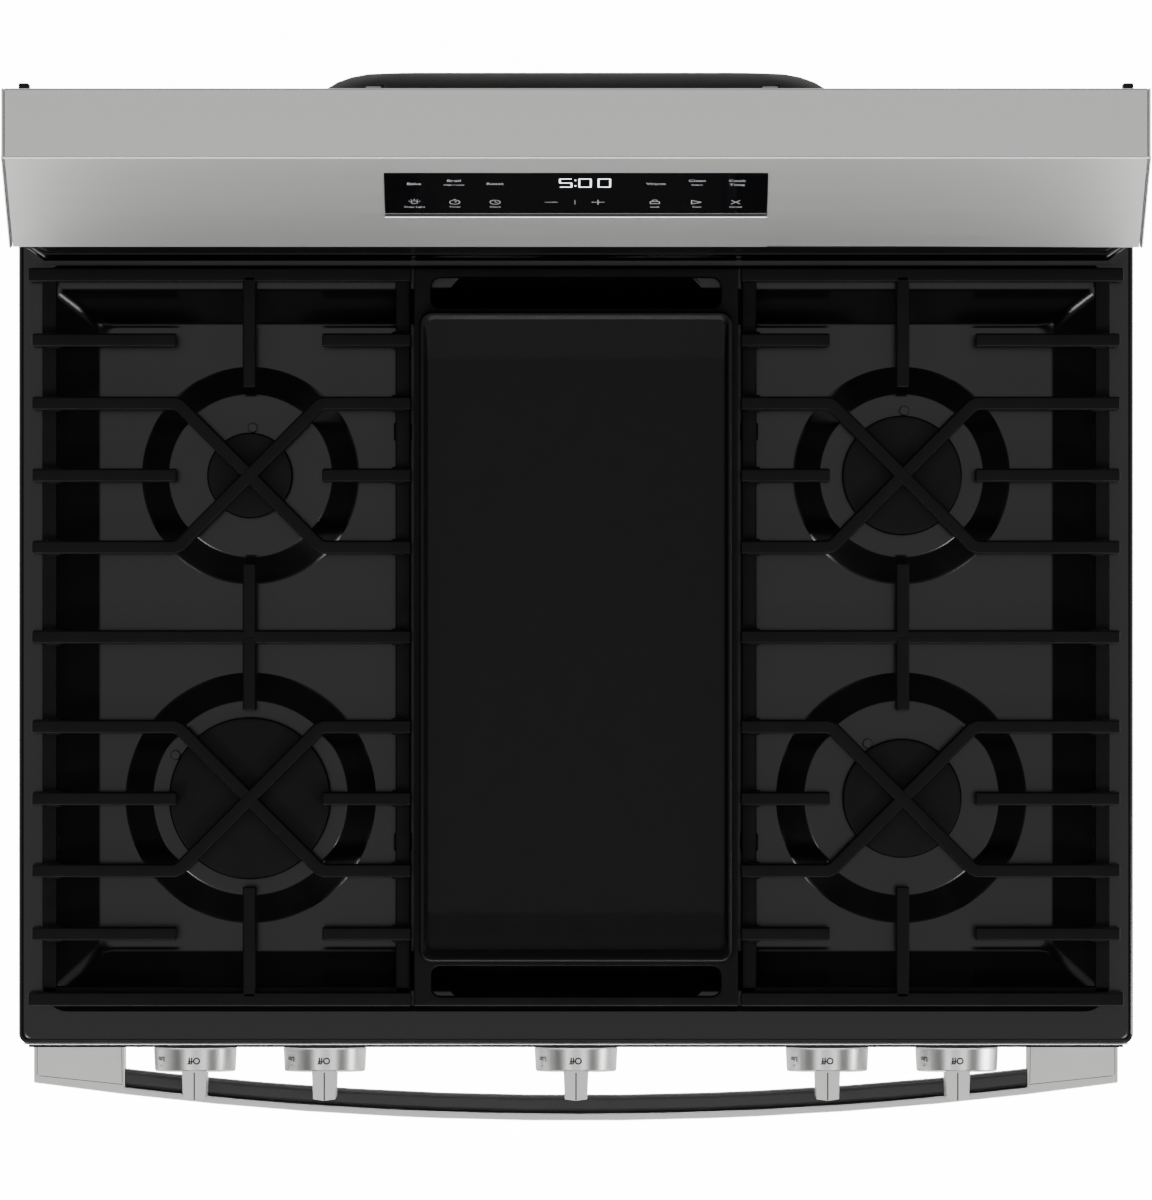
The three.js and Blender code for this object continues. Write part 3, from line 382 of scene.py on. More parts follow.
def fleckGroup():
    # light flecks scattered in enamel
    group, start, end = newGroup("enamelFlecks", [
        ("Scale", "NodeSocketFloat", 350.0), ("Size", "NodeSocketFloat", 0.16),
        ("Ground", "NodeSocketColor", (0.01, 0.01, 0.012, 1)),
        ("Fleck", "NodeSocketColor", (0.3, 0.32, 0.36, 1))],
        [("Colour", "NodeSocketColor"), ("Mask", "NodeSocketFloat")])
    cells = group.nodes.new("ShaderNodeTexVoronoi")
    place = group.nodes.new("ShaderNodeTexCoord").outputs["Object"]
    group.links.new(place, cells.inputs["Vector"])
    group.links.new(start.outputs["Scale"], cells.inputs["Scale"])
    near = mathNode(group, "LESS_THAN", cells.outputs["Distance"], start.outputs["Size"])
    pick = mathNode(group, "LESS_THAN", noiseNode(group, place, 160, 2, 0.5), 0.52)
    mask = mathNode(group, "MULTIPLY", near, pick)
    sendOut(group, end, Colour=mixedColour(group, mask, start.outputs["Ground"], start.outputs["Fleck"]),
            Mask=mask)
    return group


def handledGroup():
    # faint wipe marks that change only the gloss
    group, start, end = newGroup("wipeMarks", [
        ("Roughness", "NodeSocketFloat", 0.1), ("Amount", "NodeSocketFloat", 0.08)], [
        ("Roughness", "NodeSocketFloat"), ("Height", "NodeSocketFloat")])
    place = stretchedCoordinates(group, (9, 22, 14))
    marks = noiseNode(group, place, 1.0, 5, 0.6)
    spread = mappedRange(group, marks, 0.42, 0.72, 0.0, 1.0)
    sendOut(group, end, Roughness=weighed(group, spread, start.outputs["Amount"], start.outputs["Roughness"]),
            Height=marks)
    return group


brushedLines, castGrain, enamelFlecks, wipeMarks = brushedGroup(), grainGroup(), fleckGroup(), handledGroup()


def newMaterial(name, colour, metallic=0.0, roughness=0.4, **constants):
    material = bpy.data.materials.new(name)
    material.use_nodes = True
    tree = material.node_tree
    shader = tree.nodes["Principled BSDF"]
    shader.inputs["Base Color"].default_value = (*colour, 1)
    shader.inputs["Metallic"].default_value = metallic
    shader.inputs["Roughness"].default_value = roughness
    for label, value in constants.items():
        shader.inputs[label.replace("_", " ")].default_value = value
    return material, tree, shader


def placeGroup(tree, group, **values):
    node = tree.nodes.new("ShaderNodeGroup")
    node.node_tree = group
    for label, value in values.items():
        fed(tree, value, node.inputs[label])
    return node


def bumped(tree, shader, height, strength, distance):
    bump = tree.nodes.new("ShaderNodeBump")
    bump.inputs["Strength"].default_value = strength
    bump.inputs["Distance"].default_value = distance
    tree.links.new(height, bump.inputs["Height"])
    tree.links.new(bump.outputs["Normal"], shader.inputs["Normal"])


def brushedMetal(name, colour, stretch, roughness=0.3, spread=0.1, shade=0.1, strength=0.12):
    material, tree, shader = newMaterial(name, colour, 1.0)
    lines = placeGroup(tree, brushedLines, Vector=stretchedCoordinates(tree, stretch), Roughness=roughness,
                       Spread=spread, Colour=(*colour, 1), Shade=shade)
    tree.links.new(lines.outputs["Colour"], shader.inputs["Base Color"])
    tree.links.new(lines.outputs["Roughness"], shader.inputs["Roughness"])
    bumped(tree, shader, lines.outputs["Height"], strength, 0.00002)
    return material


def castMaterial(name, colour, scale, roughness, spread, strength, distance, **constants):
    material, tree, shader = newMaterial(name, colour, 0.0, **constants)
    grain = placeGroup(tree, castGrain, Scale=scale, Colour=(*colour, 1), Roughness=roughness, Spread=spread)
    tree.links.new(grain.outputs["Colour"], shader.inputs["Base Color"])
    tree.links.new(grain.outputs["Roughness"], shader.inputs["Roughness"])
    bumped(tree, shader, grain.outputs["Height"], strength, distance)
    return material


def glossEnamel(name, colour, roughness, amount, wave=0.02, **constants):
    material, tree, shader = newMaterial(name, colour, **constants)
    marks = placeGroup(tree, wipeMarks, Roughness=roughness, Amount=amount)
    tree.links.new(marks.outputs["Roughness"], shader.inputs["Roughness"])
    bumped(tree, shader, marks.outputs["Height"], wave, 0.0004)
    return material


def fleckedEnamel(name, ground, fleck, roughness):
    material, tree, shader = newMaterial(name, ground, 0.0, roughness)
    flecks = placeGroup(tree, enamelFlecks, Ground=(*ground, 1), Fleck=(*fleck, 1))
    marks = placeGroup(tree, wipeMarks, Roughness=roughness, Amount=0.15)
    tree.links.new(flecks.outputs["Colour"], shader.inputs["Base Color"])
    tree.links.new(marks.outputs["Roughness"], shader.inputs["Roughness"])
    bumped(tree, shader, flecks.outputs["Mask"], 0.25, 0.00005)
    return material


finishes = {
    "steelBright": 0.69,
    "steelRoughness": 0.42,
    "enamelRoughness": 0.14,
    "ironColour": (0.0026, 0.0026, 0.0027),
}
steel = finishes["steelBright"]
steelColour = (steel, steel, steel * 0.985)
stainless = brushedMetal("stainlessSheet", steelColour, (6, 1800, 1800), finishes["steelRoughness"])
handleSteel = brushedMetal("handleSteel", (0.66, 0.66, 0.65), (8, 1200, 1200), 0.34, 0.06, 0.05, 0.04)
knobSteel = brushedMetal("knobSteel", (0.74, 0.74, 0.73), (14, 1500, 14), 0.33, 0.06, 0.06, 0.04)
galvanised = brushedMetal("galvanisedSheet", (0.4, 0.41, 0.42), (90, 90, 90), 0.42, 0.4, 0.9, 0.15)
brassCast = brushedMetal("brassFitting", (0.52, 0.36, 0.15), (500, 500, 500), 0.36, 0.2, 0.2, 0.2)
dullAluminium = castMaterial("diecastAluminium", (0.3, 0.3, 0.295), 1200, 0.5, 0.2, 0.25, 0.00006,
                             Metallic=1.0)
rackWire = brushedMetal("nickelWire", (0.62, 0.61, 0.59), (400, 400, 400), 0.18, 0.1, 0.06, 0.05)
deckEnamel = glossEnamel("blackEnamel", (0.006, 0.006, 0.0065), finishes["enamelRoughness"], 0.05,
                         Specular_IOR_Level=0.42)
ovenEnamel = fleckedEnamel("flecked", (0.014, 0.016, 0.024), (0.2, 0.23, 0.3), 0.28)
irons = {"Specular_IOR_Level": 0.17}
castIron = castMaterial("castIron", finishes["ironColour"], 1100, 0.6, 0.2, 0.5, 0.00018, **irons)
griddleIron = castMaterial("griddleIron", finishes["ironColour"], 750, 0.42, 0.2, 0.6, 0.00022, **irons)
capEnamel = castMaterial("capEnamel", finishes["ironColour"], 1500, 0.5, 0.15, 0.2, 0.00008, **irons)
cabinetPaint = castMaterial("satinPaint", (0.004, 0.004, 0.0042), 420, 0.5, 0.1, 0.25, 0.00012,
                            Specular_IOR_Level=0.2)
# near-white steel for thin rods that are painted highlights on the housing's folds and the cooktop's front
# roll
highlightSteel = brushedMetal("paintedHighlightSteel", (0.96, 0.96, 0.95), (8, 1200, 1200), 0.16, 0.04, 0.03, 0.02)
# dark satin paint of the motor cover; also laid on the cooktop's front roll and the rod in front of it as
# painted shade
coverPaintAndRollShade = castMaterial("coverPaintAndRollShade", (0.0028, 0.0028, 0.0029), 420, 0.5, 0.1, 0.25, 0.00012,
                          Specular_IOR_Level=0.11)
gripPaint = castMaterial("gripCoating", (0.016, 0.016, 0.017), 800, 0.38, 0.1, 0.15, 0.00006)
panelGlass = glossEnamel("panelGlass", (0.003, 0.003, 0.0035), 0.05, 0.03, 0.005)
printWhite = castMaterial("printWhite", (0.5, 0.51, 0.52), 900, 0.5, 0.1, 0.05, 0.00002)
printBlack = castMaterial("printBlack", (0.012, 0.012, 0.013), 900, 0.5, 0.1, 0.05, 0.00002)
clockGlow, clockTree, clockShader = newMaterial("clockGlow", (0.8, 0.85, 0.9), 0.0, 0.4)
clockShader.inputs["Emission Strength"].default_value = 3
clockNoise = noiseNode(clockTree, stretchedCoordinates(clockTree, (1, 1, 1)), 300)
clockTone = mixedColour(clockTree, clockNoise, (0.76, 0.83, 0.9, 1), (0.94, 1, 1, 1))
clockTree.links.new(clockTone, clockShader.inputs["Emission Color"])
capSteel = brushedMetal("endCapSteel", (0.66, 0.66, 0.65), (1200, 8, 1200), 0.36)
windowGlass, windowTree, windowShader = newMaterial("windowGlass", (0.004, 0.004, 0.0045), 0.0, 0.05,
                                                       Specular_IOR_Level=0.32)
windowDots = placeGroup(windowTree, enamelFlecks, Scale=520.0, Size=0.3, Ground=(0.0035, 0.0035, 0.004, 1),
                        Fleck=(0.007, 0.0068, 0.0065, 1))
windowMarks = placeGroup(windowTree, wipeMarks, Roughness=0.045, Amount=0.03)
windowTree.links.new(windowDots.outputs["Colour"], windowShader.inputs["Base Color"])
windowTree.links.new(windowMarks.outputs["Roughness"], windowShader.inputs["Roughness"])
# black rubber for the door seal, spacers and hooks; on the knob backs the same black is painted shade
rubberAndKnobShade = castMaterial("blackRubberAndKnobShade", (0.012, 0.012, 0.012), 1500, 0.75, 0.1, 0.3, 0.00008)
slotMaterial = {
    "stainless": stainless, "black_enamel": deckEnamel, "oven_enamel": ovenEnamel, "cast_iron": castIron,
    "cap_enamel": capEnamel, "burner_aluminium": dullAluminium, "cabinet_paint": cabinetPaint,
    "galvanised_steel": galvanised, "brass_fittings": brassCast, "knob_metal": knobSteel,
    "rack_wire": rackWire,
    "panel_glass": panelGlass, "window_glass": windowGlass, "grip_paint": gripPaint,
}
for part in frame["record"]["subparts"]:
    mesh = nodes[part["node"]].data
    mesh.materials.clear()
    mesh.materials.append(slotMaterial[part["material_slot"]])
for name in nodes:
    if name.startswith("valve_stem"):
        nodes[name].data.materials[0] = dullAluminium
print("materials ready")


# camera, floor and studio light

studio = {"lens": 412.5, "cameraY": -0.00575, "cameraZ": 10.294, "zenith": 0.92, "cone": 0.79, "dark": 0.03,
          "paleGround": 14.0, "bounce": 0.55}


def makeCamera():
    data = bpy.data.cameras.new("topCamera")
    data.sensor_width = 36
    data.lens = studio["lens"]
    data.clip_start, data.clip_end = 0.1, 200
    camera = bpy.data.objects.new("topCamera", data)
    camera.location = (0, studio["cameraY"], studio["cameraZ"])
    bpy.context.scene.collection.objects.link(camera)
    bpy.context.scene.camera = camera


def makeFloor():
    shape = bmesh.new()
    bmesh.ops.create_grid(shape, x_segments=1, y_segments=1, size=60)
    material, tree, shader = newMaterial("paleFloor", (0.9, 0.9, 0.9), 0.0, 0.9)
    shader.inputs["Emission Color"].default_value = (1, 1, 1, 1)
    seen = tree.nodes.new("ShaderNodeLightPath").outputs["Is Camera Ray"]
    glow = mathNode(tree, "MULTIPLY", seen, studio["paleGround"])
    tree.links.new(mathNode(tree, "ADD", glow, studio["bounce"]), shader.inputs["Emission Strength"])
    mesh = bpy.data.meshes.new("floor")
    shape.to_mesh(mesh)
    mesh.materials.append(material)
    floor = bpy.data.objects.new("floor", mesh)
    floor.location.z = -0.0005
    bpy.context.scene.collection.objects.link(floor)


def makeWorld():
    world = bpy.data.worlds.new("studio")
    bpy.context.scene.world = world
    world.use_nodes = True
    tree = world.node_tree
    place = tree.nodes.new("ShaderNodeTexCoord")
    split = tree.nodes.new("ShaderNodeSeparateXYZ")
    tree.links.new(place.outputs["Generated"], split.inputs[0])
    ramp = tree.nodes.new("ShaderNodeValToRGB")
    stops = ramp.color_ramp.elements
    stops[0].position, stops[0].color = 0.0, (0.6, 0.6, 0.6, 1)
    stops[1].position, stops[1].color = 1.0, (studio["zenith"],) * 3 + (1,)
    for where, tone in ((0.12, 0.6), (0.42, 0.3), (0.59, studio["dark"]), (studio["cone"], studio["dark"]),
                        (0.88, studio["zenith"])):
        stop = stops.new(where)
        stop.color = (tone, tone, tone, 1)
    tree.links.new(split.outputs["Z"], ramp.inputs["Fac"])
    background = tree.nodes["Background"]
    tree.links.new(ramp.outputs["Color"], background.inputs["Color"])
    pale = tree.nodes.new("ShaderNodeBackground")
    pale.inputs["Color"].default_value = (1, 1, 1, 1)
    pale.inputs["Strength"].default_value = studio["paleGround"]
    seen = tree.nodes.new("ShaderNodeLightPath")
    mix = tree.nodes.new("ShaderNodeMixShader")
    tree.links.new(seen.outputs["Is Camera Ray"], mix.inputs[0])
    tree.links.new(background.outputs[0], mix.inputs[1])
    tree.links.new(pale.outputs[0], mix.inputs[2])
    tree.links.new(mix.outputs[0], tree.nodes["World Output"].inputs["Surface"])


def makeLamp(name, place, aim, size, power):
    data = bpy.data.lights.new(name, "AREA")
    data.shape = "RECTANGLE"
    data.size, data.size_y = size
    data.energy = power
    lamp = bpy.data.objects.new(name, data)
    lamp.location = place
    lamp.rotation_euler = (Vector(aim) - Vector(place)).to_track_quat("-Z", "Y").to_euler()
    lamp.visible_camera = False
    bpy.context.scene.collection.objects.link(lamp)


makeCamera()
makeFloor()
makeWorld()
for side, name in ((-1, "frontLeftLamp"), (1, "frontRightLamp")):
    makeLamp(name, (side * 1.3, -1.3, 3.9), (0, 0, 0.9), (0.45, 0.45), 11)
makeLamp("frontSoftbox", (0, -4.2, 1.5), (0, 0, 0.9), (6.0, 1.4), 200)
makeLamp("rightStrip", (3.6, -0.6, 0.95), (0, -0.3, 0.85), (0.5, 1.6), 45)
print("studio ready")


# cooktop: pressed sheet with a rolled edge, a shallow well and raised burner seats

deckLow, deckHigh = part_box("cooktop")
deckTop = deckHigh.z
wellShape = {
    "frontRoll": 0.0040, "sideRoll": 0.0052, "hem": 0.0012,
    "stepDrop": 0.0018, "stepRun": 0.0034, "stepSide": 0.0192, "stepFront": 0.0232, "stepRear": 0.1082,
    "rimSide": 0.0232, "rimFront": 0.0355, "rimRear": 0.1245,
    "floorSide": 0.057, "floorFront": 0.065, "floorRear": 0.150,
    "depth": 0.016,
    "troughHalf": 0.0745, "troughFront": 0.0135, "troughRear": 0.0135, "troughRun": 0.011,
}


def cooktopShape(size):
    half, front, rear = deckHigh.x, deckLow.y, deckHigh.y
    roll, sideRoll = size["frontRoll"], size["sideRoll"]
    hem = size["hem"]
    plates = [(-half + 0.0008, half - 0.0008, front + 0.0008, rear, deckLow.z + 0.0002, 0.0052),
              (-half, half, front, rear, deckLow.z + 0.0012, 0.006)]
    for along, rise in arcPoints(0, 91, 18):
        turn = 1 - along
        height = deckTop - roll + roll * rise
        plates.append((-half + sideRoll * turn, half - sideRoll * turn, front + hem + roll * turn,
                       rear - roll * turn,
                       height, 0.0062))
    ledge = deckTop - size["stepDrop"]
    floor = deckTop - size["depth"]

    def inset(side, atFront, atRear, height, radius):
        return (-half + side, half - side, front + atFront, rear - atRear, height, radius)

    def stepped(out, height, radius):
        return inset(size["stepSide"] + out, size["stepFront"] + out, size["stepRear"] + out, height, radius)

    run = size["stepRun"]
    plates += [stepped(-0.0006, deckTop, 0.014), stepped(0, deckTop - 0.0002, 0.014),
               stepped(run, ledge + 0.0002, 0.012), stepped(run + 0.0006, ledge, 0.012)]
    sideRun = size["floorSide"] - size["rimSide"]
    frontRun = size["floorFront"] - size["rimFront"]
    rearRun = size["floorRear"] - size["rimRear"]
    fall = ledge - floor
    for part, sink in ((-0.09, 0.0), (0.02, 0.02), (0.1, 0.1), (0.9, 0.9), (0.98, 0.98), (1.09, 1.0)):
        plates.append(inset(size["rimSide"] + sideRun * part, size["rimFront"] + frontRun * part,
                            size["rimRear"] + rearRun * part, ledge - fall * sink, 0.0055 + 0.002 * part))
    shape = stackedPlates(plates, steps=6, closeFirst=False)
    # the trough under the griddle is longer than the side wells
    half, run = size["troughHalf"], size["troughRun"]
    for place in (-half - run, -half, half, half + run):
        bmesh.ops.bisect_plane(shape, geom=shape.verts[:] + shape.edges[:] + shape.faces[:],
                               plane_co=(place, 0, 0),
                               plane_no=(1, 0, 0), dist=1e-6)
    rimFront, rimRear = front + size["rimFront"] - 0.005, rear - size["rimRear"] + 0.005
    middle = (rimFront + rimRear) / 2
    for vert in shape.verts:
        if abs(vert.co.x) > half + 1e-5 or vert.co.z > ledge + 1e-5:
            continue
        if rimFront - 1e-4 < vert.co.y < rimRear + 1e-4:
            vert.co.y += size["troughRear"] if vert.co.y > middle else -size["troughFront"]
    return shape


seatShape = {"rise": 0.008, "fold": 0.0022}
seats = {"left_front": (0.0838, 0.0665), "right_front": (0.0838, 0.0665),
         "left_rear": (0.0726, 0.0558), "right_rear": (0.0726, 0.0558)}


def burnerMiddle(place):
    low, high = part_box("burner_cap_" + place)
    return (low.x + high.x) / 2, (low.y + high.y) / 2


def seatRing(place):
    outer, inner = seats[place]
    x, y = burnerMiddle(place)
    floor = deckTop - wellShape["depth"]
    rise, fold = seatShape["rise"], seatShape["fold"]
    slope = [(outer, 1.2, -0.0002), (outer, 0.5, 0.0002), (outer, -0.3, 0.0009), (inner, 0.6, rise - 0.0010),
             (inner, 0.1, rise - 0.0004), (inner, -0.5, rise - 0.0001), (inner, -1.2, rise)]
    profile = [(radius + fold * part, floor + height) for radius, part, height in slope]
    profile += [(0.018, floor + rise), (0.0165, floor + rise - 0.002)]
    return turned(profile, 96, (x, y, 0), ring=False)


def ovalSeat():
    low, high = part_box("burner_cap_centre")
    floor = deckTop - wellShape["depth"]
    grow = 0.022
    box, middle = (low.x, high.x, low.y, high.y), (high.x - low.x) / 2
    plates = [plate(box, out, height, middle + out - 0.0002) for out, height in (
        (grow + 0.002, floor - 0.0002), (grow - 0.001, floor + 0.0008), (grow * 0.45, floor + 0.0072),
        (grow * 0.36, floor + 0.008))]
    return stackedPlates(plates, steps=12, closeFirst=False)


def rearLip():
    # folded lip that meets the backguard: a bead, a hollow curve and the deck
    low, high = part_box("backguard_riser")
    front, half = low.y, high.x
    path = [(-half - 0.0005, front + 0.0075), (-half + 0.0105, front), (half - 0.0105, front),
            (half + 0.0005, front + 0.0075)]
    profile = [(0.0002, -0.0005), (0.0002, 0.0068), (-0.0004, 0.0076), (-0.0011, 0.0076), (-0.0016, 0.0068)]
    profile += [(-0.0056 + 0.0040 * along, 0.0042 - 0.0040 * rise) for along, rise in arcPoints(0, 91, 15)]
    profile += [(-0.0085, 0.00005), (-0.0085, -0.0005)]
    return swept(profile, path, deckTop)


sheetTop = together(cooktopShape(wellShape), *[seatRing(place) for place in seats], ovalSeat(), rearLip())
finished("cooktopSheet", sheetTop, deckEnamel, "cabinet", ["cooktop"], turnSharp=50)
# the front roll is drawn in a darker matt paint as painted shade, with a thin bright steel bead on it as a
# painted highlight and a dark rod in front as painted shade under the roll
rollLightAndShade = {"half": 0.3735, "rollDepth": 0.0042, "frontHighlightBead": (0.00045, deckLow.y + 0.00045, 0.9122),
            "frontShadeRod": (0.0009, deckLow.y - 0.0009, 0.9095)}
sheetMesh = bpy.data.objects["cooktopSheet"].data
# the roll's faces take the darker matt paint: painted shade for the roll's underside
sheetMesh.materials.append(coverPaintAndRollShade)
for face in sheetMesh.polygons:
    if face.center.y < deckLow.y + rollLightAndShade["rollDepth"]:
        face.material_index = 1
# the bright bead is a painted highlight; the dark rod is painted shade
for name, finish, slotName in (("frontHighlightBead", highlightSteel, "stainless"),
                               ("frontShadeRod", coverPaintAndRollShade, "black_enamel")):
    radius, y, z = rollLightAndShade[name]
    finished(name, crossRod(radius, rollLightAndShade["half"], y, z, 12), finish, "cabinet", turnSharp=40)
print("cooktop ready")


# burners: slotted heads, caps and igniters

burnerLook = {"ports": 48, "portInset": 0.0006, "slotDepth": 0.0018, "crown": 0.0035, "wallDepth": 0.0085,
              "wallDrop": 0.0053,
              "capEdge": 0.0018, "igniterGap": 0.0035}


def burnerHead(place):
    low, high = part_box("burner_head_" + place)
    x, y = burnerMiddle(place)
    radius = (high.x - low.x) / 2
    crown = radius - burnerLook["crown"]
    shape = turned([(0, high.z), (radius - 0.005, high.z), (crown, high.z - 0.001)], 72, ring=False)
    wall = bmesh.new()
    bmesh.ops.create_cone(wall, cap_ends=False, segments=burnerLook["ports"] * 2, radius1=crown,
                          radius2=crown, depth=burnerLook["wallDepth"])
    wall.faces.ensure_lookup_table()
    ports = [face for number, face in enumerate(wall.faces) if number % 2]
    bmesh.ops.inset_individual(wall, faces=ports, thickness=burnerLook["portInset"],
                               depth=-burnerLook["slotDepth"])
    placed(wall, Matrix.Translation((0, 0, high.z - burnerLook["wallDrop"])))
    flange = turned([(crown, high.z - 0.0094), (radius - 0.0005, high.z - 0.0088), (radius, high.z - 0.008),
                     (radius, high.z - 0.0104), (0.014, high.z - 0.0104), (0.014, low.z), (0, low.z)], 72,
                    ring=False)
    whole = together(shape, wall, flange)
    return placed(whole, Matrix.Translation((x, y, 0)))


def capDisc(place):
    low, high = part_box("burner_cap_" + place)
    x, y = burnerMiddle(place)
    radius, edge = (high.x - low.x) / 2, burnerLook["capEdge"]
    profile = [(0, high.z), (radius * 0.6, high.z - 0.0001), (radius - edge * 1.6, high.z - 0.0006)]
    profile += [(radius - edge + edge * along, high.z - 0.0008 - edge + edge * rise)
                for along, rise in arcPoints(60, -31, -30)]
    profile += [(radius - 0.003, low.z + 0.0002), (0, low.z + 0.0002)]
    return turned(profile, 96, (x, y, 0), ring=False)


def ovalDisc(node, edge):
    low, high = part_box(node)
    radius = (high.x - low.x) / 2
    levels = [(-edge, low.z), (0, low.z + edge), (0, high.z - edge), (-edge * 0.3, high.z - edge * 0.3),
              (-edge, high.z)]
    plates = [(low.x + out, high.x + out, low.y - out, high.y + out, height, radius + out - 0.0002)
              for out, height in levels]
    return stackedPlates(plates, steps=12)


# where each igniter stands round its burner, in degrees
igniterSpots = {"left_rear": 87, "right_rear": 88, "left_front": 150, "right_front": 122}
for place in seats:
    finished("burnerHead_" + place, burnerHead(place), dullAluminium, "cabinet",
             ["burner_head_" + place])
    finished("burnerCap_" + place, capDisc(place), capEnamel, "cabinet",
             ["burner_cap_" + place])
    x, y = burnerMiddle(place)
    low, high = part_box("burner_cap_" + place)
    reach = (high.x - low.x) / 2 + burnerLook["igniterGap"]
    angle = math.radians(igniterSpots[place])
    spot = (x + reach * math.cos(angle), y + reach * math.sin(angle),
            deckTop - wellShape["depth"] + seatShape["rise"])
    post = turned([(0, 0.0105), (0.0029, 0.0105), (0.0033, 0.0101), (0.0034, 0.006), (0.0034, 0)], 24, spot,
                  ring=False)
    finished("igniter_" + place, post, deckEnamel, "cabinet")
finished("burnerCap_centre", ovalDisc("burner_cap_centre", 0.0015), capEnamel, "cabinet",
         ["burner_cap_centre"])
print("burners ready")


# grates and griddle

ironLook = {"fingerWidth": 0.0086, "barWidth": 0.0092, "fingerHeight": 0.013, "draft": 0.0004, "edge": 0.0011,
            "railWidth": 0.0102, "shortTip": 0.0497, "crossTip": 0.060, "bend": 0.049,
            "farRow": 0.092}


def ironBar(points, width, top, height):
    wide, thin = width / 2 + ironLook["draft"], width / 2
    return eased(swept([(-wide, top - height), (wide, top - height), (thin, top), (-thin, top)], points),
                 ironLook["edge"])


def railBar(points, top, low, inward):
    # the outer frame that carries the fingers
    width = ironLook["railWidth"] * inward
    face = [(0, low), (width, low), (width, top), (0, top)]
    return eased(swept(face if inward < 0 else face[::-1], points), ironLook["edge"])


def stub(x, y, wide, deep, low, top, ease):
    return eased(block((x - wide, y - deep, low), (x + wide, y + deep, top)), ease)


def sideGrate(size):
    low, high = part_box("right_grate")
    top = high.z
    x0, x1, front, rear = low.x, high.x - 0.0025, low.y, high.y
    middle = (front + rear) / 2
    burnerX, frontY = burnerMiddle("right_front")
    rearY = burnerMiddle("right_rear")[1]
    half, bar = size["fingerWidth"], size["barWidth"]
    railTop, railLow = top - 0.0115, deckTop + 0.0006
    outer = x1 - 0.0064
    shapes = []

    def finger(points, sunk=0.0):
        shapes.append(ironBar(points, half, top - sunk, size["fingerHeight"]))

    def rail(start, end, inward=1):
        shapes.append(railBar([start, end], railTop, railLow, inward))

    for y in (front + bar / 2, rear - bar / 2):
        shapes.append(ironBar([(x0, y), (high.x, y)], bar, top, size["fingerHeight"]))
    rail((outer, front + 0.003), (outer, rear - 0.004))
    rail((x0 + 0.0005, front + 0.003), (x0 + 0.0005, rear - 0.004), -1)
    rail((x0 + 0.001, front + 0.0028), (outer - 0.001, front + 0.0028))
    shapes.append(eased(block((x0 + 0.001, rear - 0.0088, railLow),
                              (outer - 0.001, rear - 0.0010, top - 0.010)), 0.0008))
    finger([(x0, middle), (x1, middle)], 0.0002)
    for end, burnerY, barY in ((-1, frontY, front + bar * 0.6), (1, rearY, rear - bar * 0.6)):
        tip, bend, cross = size["shortTip"], size["bend"], size["crossTip"]
        for row in (end * size["farRow"], 0):
            y = burnerY + row
            finger([(x0, y), (burnerX - tip, y)])
            finger([(burnerX + tip, y), (x1, y)])
        # two bent fingers cross over the burner
        for slant in (-1, 1):
            rise = slant * bend
            finger([(x0, burnerY - rise), (burnerX - tip - 0.0012, burnerY - rise),
                    (burnerX - bend * 0.96, burnerY - rise * 0.965),
                    (burnerX + bend * 0.96, burnerY + rise * 0.965),
                    (burnerX + tip + 0.0012, burnerY + rise), (x1, burnerY + rise)], 0.0002 * (slant > 0))
        finger([(burnerX, barY), (burnerX, burnerY + end * cross)])
        finger([(burnerX, middle), (burnerX, burnerY - end * cross)])
        for x in (x0 + 0.006, outer - 0.006):
            foot = railLow if x > burnerX else deckTop - 0.0155
            shapes.append(stub(x, burnerY + end * 0.03, 0.006, 0.006, foot, railLow + 0.004, 0.001))
    # small knees where each finger meets the rail
    rows = [burnerY + row for burnerY, end in ((frontY, -1), (rearY, 1))
            for row in (end * size["farRow"], -size["bend"], 0, size["bend"])]
    for x in (x0 + 0.0085, outer - 0.0085):
        for y in (middle, *rows):
            shapes.append(stub(x, y, 0.005, 0.0058, railTop - 0.004, top - 0.006, 0.0016))
    return together(*shapes)


finished("rightGrateCasting", sideGrate(ironLook), castIron, "right_grate_body", ["right_grate"],
         turnSharp=45)
finished("leftGrateCasting", mirroredAcross(sideGrate(ironLook)), castIron, "left_grate_body",
         ["left_grate"],
         turnSharp=45, outward=False)

middleLook = {"slotHalf": 0.0985, "slotInset": 0.0066, "slotDepth": 0.0206, "slotRadius": 0.006,
              "edge": 0.0012,
              "depth": 0.018, "bar": 0.0086, "sideRail": 0.016, "footFromEnd": 0.096, "foot": 0.006}


